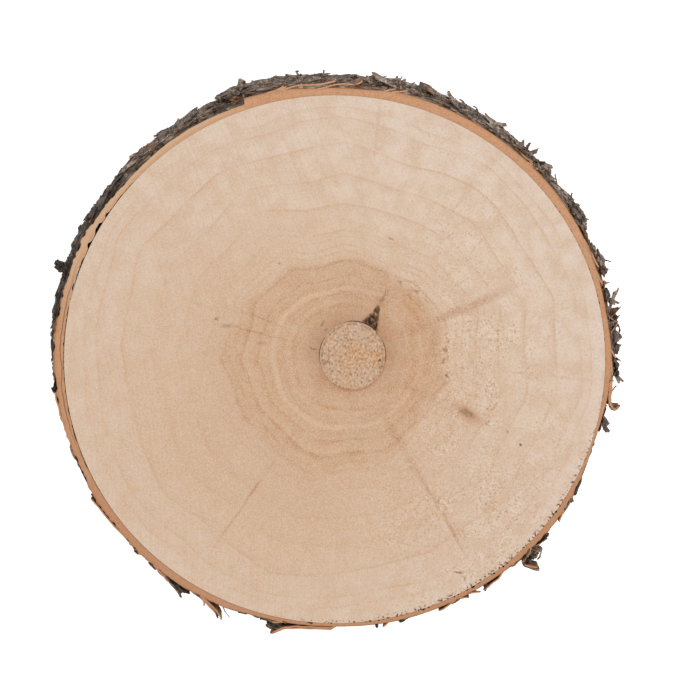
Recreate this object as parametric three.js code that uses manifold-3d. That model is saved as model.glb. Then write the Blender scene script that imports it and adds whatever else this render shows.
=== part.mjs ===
// A slice sawn across a young log: pale wood, its bark in two layers, and a round plug in its bored-out pith.
// Millimetres, +Z up. The slice lies flat, with its underside on z = 0.
import * as THREE from "three";
import { mergeVertices } from "three/addons/utils/BufferGeometryUtils.js";
import Module from "manifold-3d";

// Driving dimensions
const THICKNESS = 25;
const WOOD_RADIUS = 120;
const OVALITY = 0.003;
const LAYER_GAP = 0.3;
const SIDES = 240;

// The plug stands where the pith was, a little off the middle of the wood.
const PITH = new THREE.Vector2(8, 2.4);
const PLUG_RADII = new THREE.Vector2(14.7, 15.5);
const PLUG_RECESS = 0.4;
const PLUG_SIDES = 64;

// Two hollows in the sawn face, both measured from the pith: a drying check that opens beside the plug, and a
// pocket of enclosed bark.
const CHECK_OUTLINE = [[4, 15.3], [8.2, 20], [13.3, 28.9], [11.6, 19], [11.3, 11.5], [5.5, 12]];
const CHECK_DEPTH = 4;
const POCKET = { centre: new THREE.Vector2(51, -26), length: 6.6, width: 2, turn: -34, depth: 1.2 };

// Inner bark: [degrees round the slice, thickness]. On the upper left a strip is torn away, with a sharp end.
const INNER_BARK = [
  [0, 2.8], [10, 2.1], [26, 3.3], [40, 3.7], [60, 3.8], [76, 4.2], [85, 3], [94, 3.1], [101, 4.4],
  [109.5, 4.8], [111, 1.8], [138, 1.8], [146, 3], [153, 4.1], [165, 3.6], [185, 3.5], [200, 3], [216, 3.3],
  [232, 3.4], [246, 2.8], [253, 1.7], [270, 1.3], [284, 1.9], [300, 1.9], [321, 2.3], [330, 1.6], [342, 0.9],
];

// Outer bark: a furrowed layer, thickest on the upper left of the picture, with flakes peeling off it.
const OUTER_BARK = { thin: 0.8, extra: 1.2, thickestAt: 115, falloff: 4 };
const FURROWS = { depthShare: 0.2, count: 31, cross: 17, steady: 0.6, meander: 1.4, bends: 5, pitch: 9 };
const FURROW_LEVELS = 3;
const LOOSENESS = { mean: 0.6, swing: 0.4, loosestAt: 45 };
const SAW_ALLOWANCE = 3;

// The flakes that cover the wall in tiers, like loose shingles. Pairs are the least and the most.
const FLAKE = {
  thickness: 0.9,
  sunk: 0.35,
  stations: 3,
  columns: 56,
  tiers: 2,
  stagger: 0.5,
  jitter: 0.7,
  start: [-2, 3],
  height: [10, 17],
  width: [6, 14],
  lift: [0.8, 4.6],
  taper: 0.35,
};

// Large curls, each from its root: degrees round the slice, way it peels, size, and angles in radians.
const CURLS = [
  { at: 163, side: -1, width: 6, rise: 0.6, curl: 0.2, low: 11, high: 24, tipLow: 15, tipHigh: 22 },
  { at: 354, side: -1, width: 8, rise: 0.12, curl: 1.2, low: 8, high: 28, tipLow: 11, tipHigh: 28 },
  { at: 9, side: 1, width: 10, rise: 0.35, curl: 0.4, low: 5, high: 23, tipLow: 8, tipHigh: 20 },
  { at: 317, side: -1, width: 12, rise: 0.5, curl: 1.2, low: 7, high: 28, tipLow: 10, tipHigh: 22 },
  { at: 270, side: -1, width: 26, rise: 0.1, curl: 0.3, low: 3, high: 28, tipLow: 7, tipHigh: 24 },
  { at: 240, side: 1, width: 14, rise: 0.2, curl: 0.7, low: 6, high: 28, tipLow: 9, tipHigh: 28 },
  { at: 231, side: 1, width: 15, rise: 0.12, curl: 0.4, low: 4, high: 25, tipLow: 8, tipHigh: 22 },
  { at: 99, side: -1, width: 6, rise: 0.5, curl: 0.3, low: 8, high: 20, tipLow: 13, tipHigh: 17 },
  { at: 76, side: 1, width: 7, rise: 0.35, curl: 0.6, low: 4, high: 18, tipLow: 9, tipHigh: 15 },
  { at: 46, side: -1, width: 8, rise: 0.5, curl: 0.5, low: 9, high: 23, tipLow: 14, tipHigh: 21 },
];
const CURL_STATIONS = 6;

const COLOURS = { wood: 0xdcc5b0, plug: 0xcbac8c, innerBark: 0xd09a70, outerBark: 0x5a4c42 };
const ROUGHNESS = { wood: 0.75, plug: 0.85, innerBark: 0.8, outerBark: 0.95 };

const wasm = await Module();
wasm.setup();

const radians = THREE.MathUtils.degToRad;
const { lerp, smoothstep } = THREE.MathUtils;

// A repeatable draw between 0 and 1 for flake number index and property number salt.
function scatter(index, salt) {
  const spread = Math.sin(index * 12.9898 + salt * 78.233) * 43758.5453;
  return spread - Math.floor(spread);
}

// Solids

function solidOf(geometry) {
  geometry.deleteAttribute("normal");
  geometry.deleteAttribute("uv");
  const merged = mergeVertices(geometry);
  const vertProperties = merged.attributes.position.array;
  const triVerts = new Uint32Array(merged.index.array);
  return new wasm.Manifold(new wasm.Mesh({ numProp: 3, vertProperties, triVerts }));
}

function meshOf(name, solid, color, roughness) {
  const { vertProperties, triVerts } = solid.getMesh();
  const geometry = new THREE.BufferGeometry();
  geometry.setAttribute("position", new THREE.BufferAttribute(vertProperties, 3));
  geometry.setIndex(new THREE.BufferAttribute(triVerts, 1));
  geometry.computeVertexNormals();
  const mesh = new THREE.Mesh(geometry, new THREE.MeshStandardMaterial({ color, roughness, metalness: 0 }));
  mesh.name = name;
  return mesh;
}

// Moves every vertex of a geometry to place(vertex).
function reshaped(geometry, place) {
  const position = geometry.attributes.position;
  const vertex = new THREE.Vector3();
  for (let i = 0; i < position.count; i += 1) {
    vertex.fromBufferAttribute(position, i);
    position.setXYZ(i, ...place(vertex));
  }
  return geometry;
}

// A ring round the slice from z = low to z = high, between two radii that vary with the angle and the height.
function ringSolid(low, high, levels, innerRadius, outerRadius) {
  const profile = [new THREE.Vector2(1, low)];
  for (let level = 0; level <= levels; level += 1) {
    profile.push(new THREE.Vector2(2, lerp(low, high, level / levels)));
  }
  profile.push(new THREE.Vector2(1, high), new THREE.Vector2(1, low));
  const ring = new THREE.LatheGeometry(profile, SIDES).rotateX(Math.PI / 2);
  return solidOf(reshaped(ring, ({ x, y, z }) => {
    const angle = Math.atan2(y, x);
    const share = Math.hypot(x, y) - 1;
    const radius = lerp(innerRadius(angle), outerRadius(angle, z), share);
    return [radius * Math.cos(angle), radius * Math.sin(angle), z];
  }));
}

// The log's layers, each as a radius at an angle round the slice

function woodRadius(angle) {
  return WOOD_RADIUS * (1 + OVALITY * Math.cos(2 * angle));
}

// Smooth periodic interpolation through the inner bark's listed thicknesses.
function innerBarkThickness(angle) {
  const degrees = THREE.MathUtils.euclideanModulo(THREE.MathUtils.radToDeg(angle), 360);
  const next = INNER_BARK.findIndex(([at]) => at > degrees);
  const [toAt, to] = next < 0 ? [360, INNER_BARK[0][1]] : INNER_BARK[next];
  const [fromAt, from] = INNER_BARK[next < 0 ? INNER_BARK.length - 1 : next - 1];
  return lerp(from, to, smoothstep(degrees, fromAt, toAt));
}

const innerBarkFoot = (angle) => woodRadius(angle) + LAYER_GAP;
const innerBarkFace = (angle) => innerBarkFoot(angle) + innerBarkThickness(angle);
const outerBarkFoot = (angle) => innerBarkFace(angle) + LAYER_GAP;

function outerBarkThickness(angle) {
  const near = 0.5 + 0.5 * Math.cos(angle - radians(OUTER_BARK.thickestAt));
  return OUTER_BARK.thin + OUTER_BARK.extra * near ** OUTER_BARK.falloff;
}

const outerBarkFace = (angle) => outerBarkFoot(angle) + outerBarkThickness(angle);

// The outer bark's face with its upright furrows, which wander with the height.
function furrowedFace(angle, z) {
  const { depthShare, count, cross, steady, meander, bends, pitch } = FURROWS;
  const wave = Math.sin(count * angle + meander * Math.sin(z / pitch + bends * angle));
  const strength = lerp(Math.cos(cross * angle - z / pitch), 1, steady);
  return outerBarkFace(angle) + depthShare * outerBarkThickness(angle) * wave * strength;
}

// How readily the bark peels, from 0 to 1: most on the right of the picture, least on the lower left.
function looseness(angle) {
  return LOOSENESS.mean + LOOSENESS.swing * Math.cos(angle - radians(LOOSENESS.loosestAt));
}

// Bark flakes

// A flake's middle line in plan: each station's distance along the wall and away from it, and its heading.
function peelingPath(width, rise, curl, stations) {
  const step = width / stations;
  const path = [{ along: 0, away: -FLAKE.sunk, turn: rise }];
  for (let i = 1; i <= stations; i += 1) {
    const turn = rise + curl * ((i - 0.5) / stations) ** 2;
    const { along, away } = path[i - 1];
    path.push({ along: along + step * Math.cos(turn), away: away + step * Math.sin(turn), turn });
  }
  return path;
}

// A thin blade rooted in the outer bark and bent along its path, with edges that run from root to tip.
function flakeSolid({ at, side, width, rise, curl, low, high, tipLow, tipHigh, stations }) {
  const path = peelingPath(width, rise, curl, stations);
  const blade = new THREE.BoxGeometry(1, 1, 1, stations, 1, 1);
  return solidOf(reshaped(blade, ({ x, y, z }) => {
    const share = x + 0.5;
    const { along, away, turn } = path[Math.round(share * stations)];
    const offset = y * FLAKE.thickness;
    const angle = radians(at) + (side * (along - offset * Math.sin(turn))) / WOOD_RADIUS;
    const radius = outerBarkFace(angle) + away + offset * Math.cos(turn);
    const height = lerp(lerp(low, tipLow, share), lerp(high, tipHigh, share), 0.5 - side * z);
    return [radius * Math.cos(angle), radius * Math.sin(angle), height];
  }));
}

// One flake of the field. Its root slant gives half of the lift at its tip, and its curl the other half.
function fieldFlake(column, tier) {
  const index = column + tier * FLAKE.columns;
  const draw = (salt) => scatter(index, salt);
  const at = ((column + FLAKE.stagger * tier + FLAKE.jitter * (draw(1) - 0.5)) * 360) / FLAKE.columns;
  const low = (THICKNESS / FLAKE.tiers) * tier + lerp(...FLAKE.start, draw(2));
  const height = lerp(...FLAKE.height, draw(3));
  const width = lerp(...FLAKE.width, draw(4));
  const slant = lerp(...FLAKE.lift, looseness(radians(at)) * draw(5) ** 2) / width;
  return {
    at,
    side: draw(6) < 0.5 ? -1 : 1,
    width,
    rise: slant / 2,
    curl: (3 * slant) / 2,
    low,
    high: low + height,
    tipLow: low + FLAKE.taper * height * draw(7),
    tipHigh: low + height * (1 - FLAKE.taper * draw(8)),
    stations: FLAKE.stations,
  };
}

// The largest body of a solid. Loose scraps are dropped, and hollows sealed between flakes are filled.
function mainBody(solid) {
  return solid.decompose().reduce((main, body) => (body.volume() > main.volume() ? body : main));
}

function outerBarkSolid() {
  const flakes = CURLS.map((curl) => ({ ...curl, stations: CURL_STATIONS }));
  for (let tier = 0; tier < FLAKE.tiers; tier += 1) {
    for (let column = 0; column < FLAKE.columns; column += 1) {
      flakes.push(fieldFlake(column, tier));
    }
  }
  const grown = flakes.reduce(
    (bark, flake) => bark.add(flakeSolid(flake)),
    ringSolid(-SAW_ALLOWANCE, THICKNESS + SAW_ALLOWANCE, FURROW_LEVELS, outerBarkFoot, furrowedFace),
  );
  const reach = 3 * WOOD_RADIUS;
  const sawnSlab = new THREE.BoxGeometry(reach, reach, THICKNESS).translate(0, 0, THICKNESS / 2);
  return mainBody(grown.intersect(solidOf(sawnSlab)));
}

// Wood and plug

function checkSolid() {
  const outline = new THREE.Shape(CHECK_OUTLINE.map(([x, y]) => new THREE.Vector2(x, y).add(PITH)));
  const wedge = new THREE.ExtrudeGeometry(outline, { depth: 2 * CHECK_DEPTH, bevelEnabled: false });
  return solidOf(wedge.translate(0, 0, THICKNESS - CHECK_DEPTH));
}

function pocketSolid() {
  const { centre, length, width, turn, depth } = POCKET;
  const hollow = new THREE.SphereGeometry(1, 16, 8).scale(length / 2, width / 2, depth);
  hollow.rotateZ(radians(turn)).translate(PITH.x + centre.x, PITH.y + centre.y, THICKNESS);
  return solidOf(hollow);
}

function woodSolid() {
  const rim = [];
  for (let i = 0; i < SIDES; i += 1) {
    const angle = (2 * Math.PI * i) / SIDES;
    rim.push(new THREE.Vector2(Math.cos(angle), Math.sin(angle)).multiplyScalar(woodRadius(angle)));
  }
  const disc = new THREE.Shape(rim);
  const [boreX, boreY] = PLUG_RADII.clone().addScalar(LAYER_GAP).toArray();
  disc.holes.push(new THREE.Path().absellipse(PITH.x, PITH.y, boreX, boreY, 0, 2 * Math.PI));
  const sawn = { depth: THICKNESS, bevelEnabled: false, curveSegments: PLUG_SIDES };
  return solidOf(new THREE.ExtrudeGeometry(disc, sawn)).subtract(checkSolid()).subtract(pocketSolid());
}

function plugSolid() {
  const height = THICKNESS - PLUG_RECESS;
  const dowel = new THREE.CylinderGeometry(1, 1, height, PLUG_SIDES).rotateX(Math.PI / 2);
  dowel.scale(PLUG_RADII.x, PLUG_RADII.y, 1);
  return solidOf(dowel.translate(PITH.x, PITH.y, height / 2));
}

// The slice, with its origin under the middle of its outline

const slice = new THREE.Group();
slice.add(
  meshOf("wood", woodSolid(), COLOURS.wood, ROUGHNESS.wood),
  meshOf("centre_plug", plugSolid(), COLOURS.plug, ROUGHNESS.plug),
  meshOf(
    "inner_bark",
    ringSolid(0, THICKNESS, 1, innerBarkFoot, innerBarkFace),
    COLOURS.innerBark,
    ROUGHNESS.innerBark,
  ),
  meshOf("outer_bark", outerBarkSolid(), COLOURS.outerBark, ROUGHNESS.outerBark),
);
const middle = new THREE.Box3().setFromObject(slice).getCenter(new THREE.Vector3());
slice.children.forEach((piece) => piece.position.set(-middle.x, -middle.y, 0));

export default slice;
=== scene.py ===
# %% [markdown]
# # A slice of a young log
# This lesson dresses a slice sawn across a young log, bark and all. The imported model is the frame. It gives
# each piece its place and its size, in metres, with +Z up and the slice flat on z = 0. Every solid of the
# frame is replaced by a finer piece of the same form, and every piece gets a finish made of nodes.

# %% Load the frame
import functools
import math
import random
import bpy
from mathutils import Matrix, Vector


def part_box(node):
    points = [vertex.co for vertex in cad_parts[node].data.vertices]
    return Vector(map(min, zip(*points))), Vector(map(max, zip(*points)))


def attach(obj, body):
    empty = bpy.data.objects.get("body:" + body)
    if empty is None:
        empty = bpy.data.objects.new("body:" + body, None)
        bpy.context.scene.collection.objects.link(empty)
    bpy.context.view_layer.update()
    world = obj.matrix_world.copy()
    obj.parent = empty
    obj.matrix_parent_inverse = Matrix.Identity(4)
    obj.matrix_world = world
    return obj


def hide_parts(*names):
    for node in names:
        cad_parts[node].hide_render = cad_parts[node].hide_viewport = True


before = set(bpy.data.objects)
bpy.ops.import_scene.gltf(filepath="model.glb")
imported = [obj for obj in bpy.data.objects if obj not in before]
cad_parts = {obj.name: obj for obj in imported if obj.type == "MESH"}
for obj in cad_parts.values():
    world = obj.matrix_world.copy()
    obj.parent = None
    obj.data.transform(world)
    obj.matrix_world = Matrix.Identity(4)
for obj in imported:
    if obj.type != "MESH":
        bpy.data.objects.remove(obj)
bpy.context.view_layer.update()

from types import SimpleNamespace

import bmesh
import bpy
from mathutils import Vector, noise

print("nodes in the frame:", sorted(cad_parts))

# %% [markdown]
# ## Sizes and places
# A log is built in rings, so its shapes are easiest to write as a radius at an angle. The functions below
# work in millimetres round the middle of the wood, and `place` turns an angle, a radius and a height into a
# point of the frame, in metres. The sizes come from the boxes of the frame's solids.

# %% Sizes from the frame
MM = 0.001


def box_of(node):
    low, high = (Vector(corner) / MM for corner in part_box(node))
    return (low + high) / 2, (high - low) / 2


MIDDLE, wood_half = box_of("wood")
plug_middle, plug_half = box_of("centre_plug")
PITH_AT = plug_middle.to_2d()
PITH = PITH_AT - MIDDLE.to_2d()
FACE = 2 * wood_half.z
WOOD_RADIUS = (wood_half.x + wood_half.y) / 2
OVALITY = (wood_half.x - wood_half.y) / (wood_half.x + wood_half.y)


def place(angle, radius, height):
    across = Vector((math.cos(angle), math.sin(angle))) * radius
    return Vector((MIDDLE.x + across.x, MIDDLE.y + across.y, height)) * MM


print(f"wood {2 * WOOD_RADIUS:.1f} mm across and {FACE:.1f} mm thick,"
      f" its pith {PITH.x:.1f} and {PITH.y:.1f} mm from the middle")

# %% [markdown]
# ## The layers of the log
# The bark has two layers: a clean orange inner bark and a dark, flaking outer bark. Neither is even, so each
# thickness is a function of the angle, with the same driving values as the solids. Angles run anticlockwise
# from +X, and one strip of inner bark is torn away on the upper left.

# %% Helpers for angles
def lerp(start, end, share):
    return start + (end - start) * share


def smoothstep(value, start, end):
    share = min(max((value - start) / (end - start), 0), 1)
    return share * share * (3 - 2 * share)


def degrees_of(angle):
    return math.degrees(angle) % 360


def between(angle, start, end, soft):
    """1 from start to end, in degrees, with soft ends."""
    degrees = (degrees_of(angle) - start) % 360
    span = (end - start) % 360
    if degrees > 180 + span / 2:
        degrees -= 360
    return smoothstep(degrees, -soft, soft) * (1 - smoothstep(degrees, span - soft, span + soft))


def listed(table, angle):
    """Smooth interpolation through a table of (degrees, value) that runs from 0 to 360."""
    degrees = degrees_of(angle)
    for (start, low), (end, high) in zip(table, table[1:]):
        if degrees < end:
            break
    return lerp(low, high, smoothstep(degrees, start, end))


soft_arc = [round(between(math.radians(degrees), 0, 90, 10), 2) for degrees in (-10, 0, 10, 80, 90, 100)]
print("an arc from 0 to 90 degrees with soft ends:", soft_arc)

# %% Layer thicknesses
LAYER_GAP = 0.3
INNER_BARK = [
    # degrees, thickness in millimetres
    (0, 2.8), (10, 2.1), (26, 3.3), (40, 3.7), (60, 3.8), (76, 4.2), (85, 3), (94, 3.1), (101, 4.4),
    (108.7, 4.8), (109.1, 2.3), (125, 2.7), (138, 2.3), (146, 3), (153, 4.1), (165, 3.8), (176, 4.2),
    (188, 4), (200, 3.1), (216, 3.3), (232, 3.4), (246, 2.8), (253, 1.7), (270, 1.3), (284, 1.9), (300, 1.9),
    (318, 2.4), (326, 2.6), (332, 1.9), (342, 0.9), (360, 2.8),
]
TORN_FROM, TORN_TO = 109.1, 146
BARK_THIN, BARK_EXTRA, BARK_THICKEST_AT, BARK_FALLOFF = 0.8, 1.2, 115, 4
BARK_LEFT = [
    (0, 0.4), (36, 0.4), (46, 0.9), (60, 1), (150, 1), (168, 0.85), (177, 0.45), (185, 0.25), (228, 0.12),
    (345, 0.12), (352, 0.3), (360, 0.4),
]
LOOSE_MEAN, LOOSE_SWING, LOOSEST_AT = 0.6, 0.4, 45
NOISE_STRIDE = 31.7     # how far apart the layers of noise are read


def wood_radius(angle):
    return WOOD_RADIUS * (1 + OVALITY * math.cos(2 * angle))


def torn(angle):
    return between(angle, TORN_FROM, TORN_TO, 0.6)


def bark_left(angle):
    """How much of the outer bark is still there, from 0 to 1."""
    return listed(BARK_LEFT, angle)


def inner_bark_thickness(angle):
    return listed(INNER_BARK, angle)


def inner_bark_face(angle):
    return wood_radius(angle) + LAYER_GAP + inner_bark_thickness(angle)


def outer_bark_thickness(angle):
    near = 0.5 + 0.5 * math.cos(angle - math.radians(BARK_THICKEST_AT))
    return BARK_THIN + BARK_EXTRA * near ** BARK_FALLOFF


def outer_bark_face(angle):
    return inner_bark_face(angle) + LAYER_GAP + outer_bark_thickness(angle)


def looseness(angle):
    return LOOSE_MEAN + LOOSE_SWING * math.cos(angle - math.radians(LOOSEST_AT))


def ripple(angle, height, along, up, layer):
    """Smooth noise on the log's wall, from about -1 to 1, with features of along by up millimetres."""
    around = Vector((math.cos(angle), math.sin(angle))) * (WOOD_RADIUS / along)
    return noise.noise(Vector((around.x + NOISE_STRIDE * layer, around.y, height / up)))


for degrees in (0, 90, 180, 270):
    angle = math.radians(degrees)
    print(f"at {degrees} degrees: inner bark {inner_bark_thickness(angle):.1f} mm,"
          f" outer bark {outer_bark_thickness(angle):.1f} mm")

# %% [markdown]
# ## Helpers for meshes
# Most pieces here are sheets: a grid whose points are carried to their place. Round pieces are sheets too,
# wrapped round the log and closed by merging the points that meet. `point_values` gives a mesh the point
# attributes that its finish reads. `finish_piece` turns a bmesh into an object at the origin, thickens it if
# it is a thin sheet, puts it on the frame's one body, and says which solid it stands for.

# %% Mesh helpers
SMOOTH_BELOW = math.radians(50)


def add_sheet(bm, columns, rows, shape):
    """A grid whose point at shares (across, up), each from 0 to 1, lies at shape(across, up)."""
    made = bmesh.ops.create_grid(bm, x_segments=columns, y_segments=rows, size=0.5)["verts"]
    for vert in made:
        vert.co = shape(vert.co.x + 0.5, vert.co.y + 0.5)
    return made


def add_wrapped_sheet(bm, columns, section, shape):
    """A sheet wrapped once round the log. section lists the stations of its cross-section, in order."""
    rows = len(section) - 1
    turn = 2 * math.pi
    add_sheet(bm, columns, rows, lambda across, up: shape(turn * across, *section[round(up * rows)]))
    bmesh.ops.remove_doubles(bm, verts=bm.verts, dist=MM / 1000)
    bmesh.ops.recalc_face_normals(bm, faces=bm.faces)


def shares(count):
    return [index / count for index in range(count + 1)]


def point_values(bm, *names):
    """The mesh's point attributes of these names, made where there are none yet."""
    layers = bm.verts.layers.float
    return [layers[name] if name in layers else layers.new(name) for name in names]


def finish_piece(name, bm, node, materials, thickness=0):
    mesh = bpy.data.meshes.new(name)
    bm.to_mesh(mesh)
    bm.free()
    for material in materials:
        mesh.materials.append(material)
    piece = bpy.data.objects.new(name, mesh)
    bpy.context.scene.collection.objects.link(piece)
    if thickness:
        wall = piece.modifiers.new("Thickness", "SOLIDIFY")
        wall.thickness = thickness * MM
        wall.offset = -1
        wall.material_offset = len(materials) - 1
        evaluated = piece.evaluated_get(bpy.context.evaluated_depsgraph_get())
        piece.data = bpy.data.meshes.new_from_object(evaluated)
        piece.modifiers.clear()
    piece.data.shade_smooth()
    piece.data.set_sharp_from_angle(angle=SMOOTH_BELOW)
    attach(piece, "root")
    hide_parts(node)
    print(f"{name}: {len(piece.data.polygons)} faces for {node}")


# %% [markdown]
# ## Helpers for finishes
# A finish is a node tree. One function adds a node, sets its properties and fills its sockets, either with a
# value or with a link from another node, and hands back the output that is in use. Colours are written as
# the hex values seen in the picture. One function turns them into the linear numbers that a renderer mixes,
# less the level of the studio's light. `per_mm` gives a texture the scale that makes its features so many
# millimetres wide. A finish is then a function that adds its nodes and says what goes into the shader.

# %% Node helpers
LIGHT_LEVEL = 1.45
WOOD_IOR = 1.5


def linear(hex_colour):
    def channel(value):
        return value / 12.92 if value <= 0.04045 else ((value + 0.055) / 1.055) ** 2.4

    return (*(channel(int(hex_colour[i:i + 2], 16) / 255) / LIGHT_LEVEL for i in (1, 3, 5)), 1)


def per_mm(size):
    return 1 / (size * MM)


def fill_sockets(tree, node, sockets):
    """Give each input its value: an output to link, a hex colour or a plain value."""
    for socket, value in sockets.items():
        if isinstance(value, bpy.types.NodeSocket):
            tree.links.new(value, node.inputs[socket])
        else:
            node.inputs[socket].default_value = linear(value) if isinstance(value, str) else value


def add_node(tree, kind, sockets=None, ramp=(), out=None, **settings):
    """Add a shader node and return its output named out, or else the first of its outputs in use."""
    made = tree.nodes.new("ShaderNode" + kind)
    for name, value in settings.items():
        setattr(made, name, value)
    fill_sockets(tree, made, sockets or {})
    for index, (position, colour) in enumerate(ramp):
        stops = made.color_ramp.elements
        stop = stops[index] if index < 2 else stops.new(position)
        stop.position = position
        stop.color = linear(colour) if isinstance(colour, str) else (colour, colour, colour, 1)
    return made.outputs[out] if out else next(socket for socket in made.outputs if socket.enabled)


def new_finish(name, build):
    """A material. build gets the function that adds nodes and returns what goes into the shader's inputs."""
    material = bpy.data.materials.new(name)
    material.use_nodes = True
    tree = material.node_tree
    fill_sockets(tree, tree.nodes["Principled BSDF"], build(functools.partial(add_node, tree)))
    print(name, "has", len(tree.nodes), "nodes")
    return material


print("a mid grey of #808080 is", round(linear("#808080")[0], 3), "in linear light")

# %% [markdown]
# ## The wood's shape
# The wood is a flat disc with a hole bored at its pith. It could be a cylinder with a boolean cut, but the
# growth rings have to follow its real outline, so it is one sheet wrapped round the pith instead. The sheet's
# cross-section runs up the bore, out over the sawn face, down the rim and back along the underside. A point
# attribute named "ring" holds how far out a point lies between the pith and the rim. Growth was uneven, so
# the rings bulge at eleven soft corners, and the attribute has the same bulge. The others are "heart", which
# is 1 where the heartwood ends, "stain", which marks the dark check beside the plug and the pocket of bark,
# and "halo", the brown wood round the pocket.

# %% Wood outline and hollows
CORNERS, CORNER_TURN, CORNER_BULGE = 11, math.radians(119), 0.025
CHECK_FOOT, CHECK_TIP, CHECK_TAIL = Vector((7.5, 13.3)), Vector((13.0, 25.2)), Vector((16.2, 31.5))
CHECK_HALF_WIDTH, CHECK_DEPTH = 4.2, 2.0
POCKET_AT, POCKET_TURN = Vector((51, -26)), math.radians(-34)
POCKET_HALF, POCKET_DEPTH = Vector((5.0, 2.0)), 0.6
HEART_REACH = [
    (0, 0.375), (45, 0.37), (90, 0.40), (135, 0.405), (180, 0.48), (215, 0.475), (250, 0.47), (270, 0.44),
    (290, 0.41), (307, 0.395), (320, 0.375), (334, 0.395), (360, 0.38),
]


def reach_from_pith(direction):
    """Distance from the pith to the wood's rim."""
    run = Vector((direction.x / wood_half.x, direction.y / wood_half.y))
    start = Vector((PITH.x / wood_half.x, PITH.y / wood_half.y))
    half = start.dot(run) / run.dot(run)
    return math.sqrt(half * half - (start.dot(start) - 1) / run.dot(run)) - half


def bore_gap(angle):
    """The plug is tight at the bottom and stands a little off the wood at the top, the left and the right."""
    sides = between(angle, 150, 190, 14) + between(angle, 350, 30, 12)
    return 0.5 * between(angle, 48, 100, 14) + 0.25 * sides


def bore_radius(direction):
    """The plug's outline and the gap round it."""
    gap = bore_gap(math.atan2(direction.y, direction.x))
    return 1 / math.hypot(direction.x / (plug_half.x + gap), direction.y / (plug_half.y + gap))


def ring_bulge(angle, share):
    """How far the growth rings stand out at this angle: sharp corners with flats between them."""
    warped = angle + 0.09 * math.sin(2 * angle + 1) + 0.05 * math.sin(5 * angle + 6 * share)
    wave = math.sin(warped * CORNERS / 2 - CORNER_TURN)
    corner = 0.64 - math.sqrt(wave * wave + 0.015)
    fade = smoothstep(share, 0.2, 0.5) * (1 - smoothstep(share, 0.82, 1.02))
    slow = 0.012 * math.sin(3 * angle + 0.7) + 0.006 * math.sin(7 * angle + 9 * share)
    return fade * (CORNER_BULGE * corner + slow)


def along_line(spot, start, end):
    """How far a spot lies along a line, as a share of its length, and how far to the side of it."""
    run = end - start
    return (spot - start).dot(run) / run.dot(run), abs((spot - start).cross(run)) / run.length


def check_depth(spot):
    """Share of the check's full depth at a spot measured from the pith, and how stained the wood is there."""
    grain = noise.noise(Vector((spot.x, spot.y * 0.5, 3)) * 0.9)
    along, aside = along_line(spot, CHECK_FOOT, CHECK_TIP)
    half = CHECK_HALF_WIDTH * (1 - min(max(along, 0), 1)) ** 1.5
    inside = smoothstep(half - aside + 0.6 * grain, -0.5, 0.9) * (1 - smoothstep(along, 0.9, 1.1))
    inside *= smoothstep(along, -0.5, -0.2)
    along, aside = along_line(spot, CHECK_TIP, CHECK_TAIL)
    streak = smoothstep(along, -0.6, 0) * (1 - smoothstep(along, 0.2, 1))
    streak *= smoothstep(1.0 - aside + 0.8 * grain, -0.4, 0.8)
    return inside * (0.35 + 0.65 * smoothstep(grain, -0.3, 0.3)), max(inside, 0.4 * streak)


def pocket_depth(spot, rim=1):
    """Share of the pocket's full depth at a spot measured from the pith. A larger rim takes in more."""
    local = spot - POCKET_AT
    turned = Vector((
        local.x * math.cos(POCKET_TURN) + local.y * math.sin(POCKET_TURN),
        local.y * math.cos(POCKET_TURN) - local.x * math.sin(POCKET_TURN),
    ))
    grain = noise.noise(Vector((spot.x, spot.y, 6)) * 0.7)
    reach = math.hypot(turned.x / POCKET_HALF.x, turned.y / POCKET_HALF.y) + 0.3 * grain
    return 1 - smoothstep(reach / rim, 0.4, 1.05)


print("the check is", round((CHECK_TIP - CHECK_FOOT).length, 1), "mm long")

# %% [markdown]
# ## The finish of the wood
# The wood is birch-like: pale, close-grained, with thin orange-brown lines where a year's growth ended. It
# was sawn and lightly sanded, and never oiled, so it is matt. The finish lays one thing over another: the
# slow change from a tan heart to pinkish-white sapwood, the ring lines, the rays that run out from the pith,
# the fine upright marks of the saw on the left, and the torn, speckled grain on the right. It could be one
# painted picture, but nodes that read the attributes follow the shape, so each of these is a function that
# takes the colour so far and gives back a new one.

# %% Wood colours
# Each colour is listed with its place between the pith, at 0, and the rim, at 1.
SAPWOOD_PALE = [(0.30, "#D9BCA2"), (0.45, "#DABFA6"), (0.60, "#DEC6B1"), (0.80, "#E0CBB9"), (1.0, "#E1CEBF")]
SAPWOOD_BROWN = [(0.30, "#C9A382"), (0.50, "#CBA688"), (0.72, "#D0AF92"), (0.88, "#D5B9A2"), (1.0, "#D7BDA7")]
HEARTWOOD = [
    (0.11, "#BC8C64"), (0.15, "#C89C78"), (0.22, "#CEA684"), (0.30, "#D2AC8B"), (0.37, "#CEA480"),
    (0.48, "#D0AB8B"),
]
HEART_RINGS = [
    (0.12, "#B88760"), (0.15, "#C89B76"), (0.19, "#CDA581"), (0.20, "#C2946B"), (0.222, "#D2AB88"),
    (0.236, "#C4976F"), (0.262, "#D3AC89"), (0.272, "#DFBD9E"), (0.284, "#C5986F"), (0.312, "#D0A985"),
    (0.322, "#C99D76"), (0.36, "#D3AC8A"), (0.374, "#BE9067"), (0.392, "#CFA782"), (0.425, "#D1AB88"),
    (0.435, "#C69B74"), (0.48, "#D2AD8D"),
]
HEART_TONE = (0.93, 0.88, 0.83)

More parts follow.
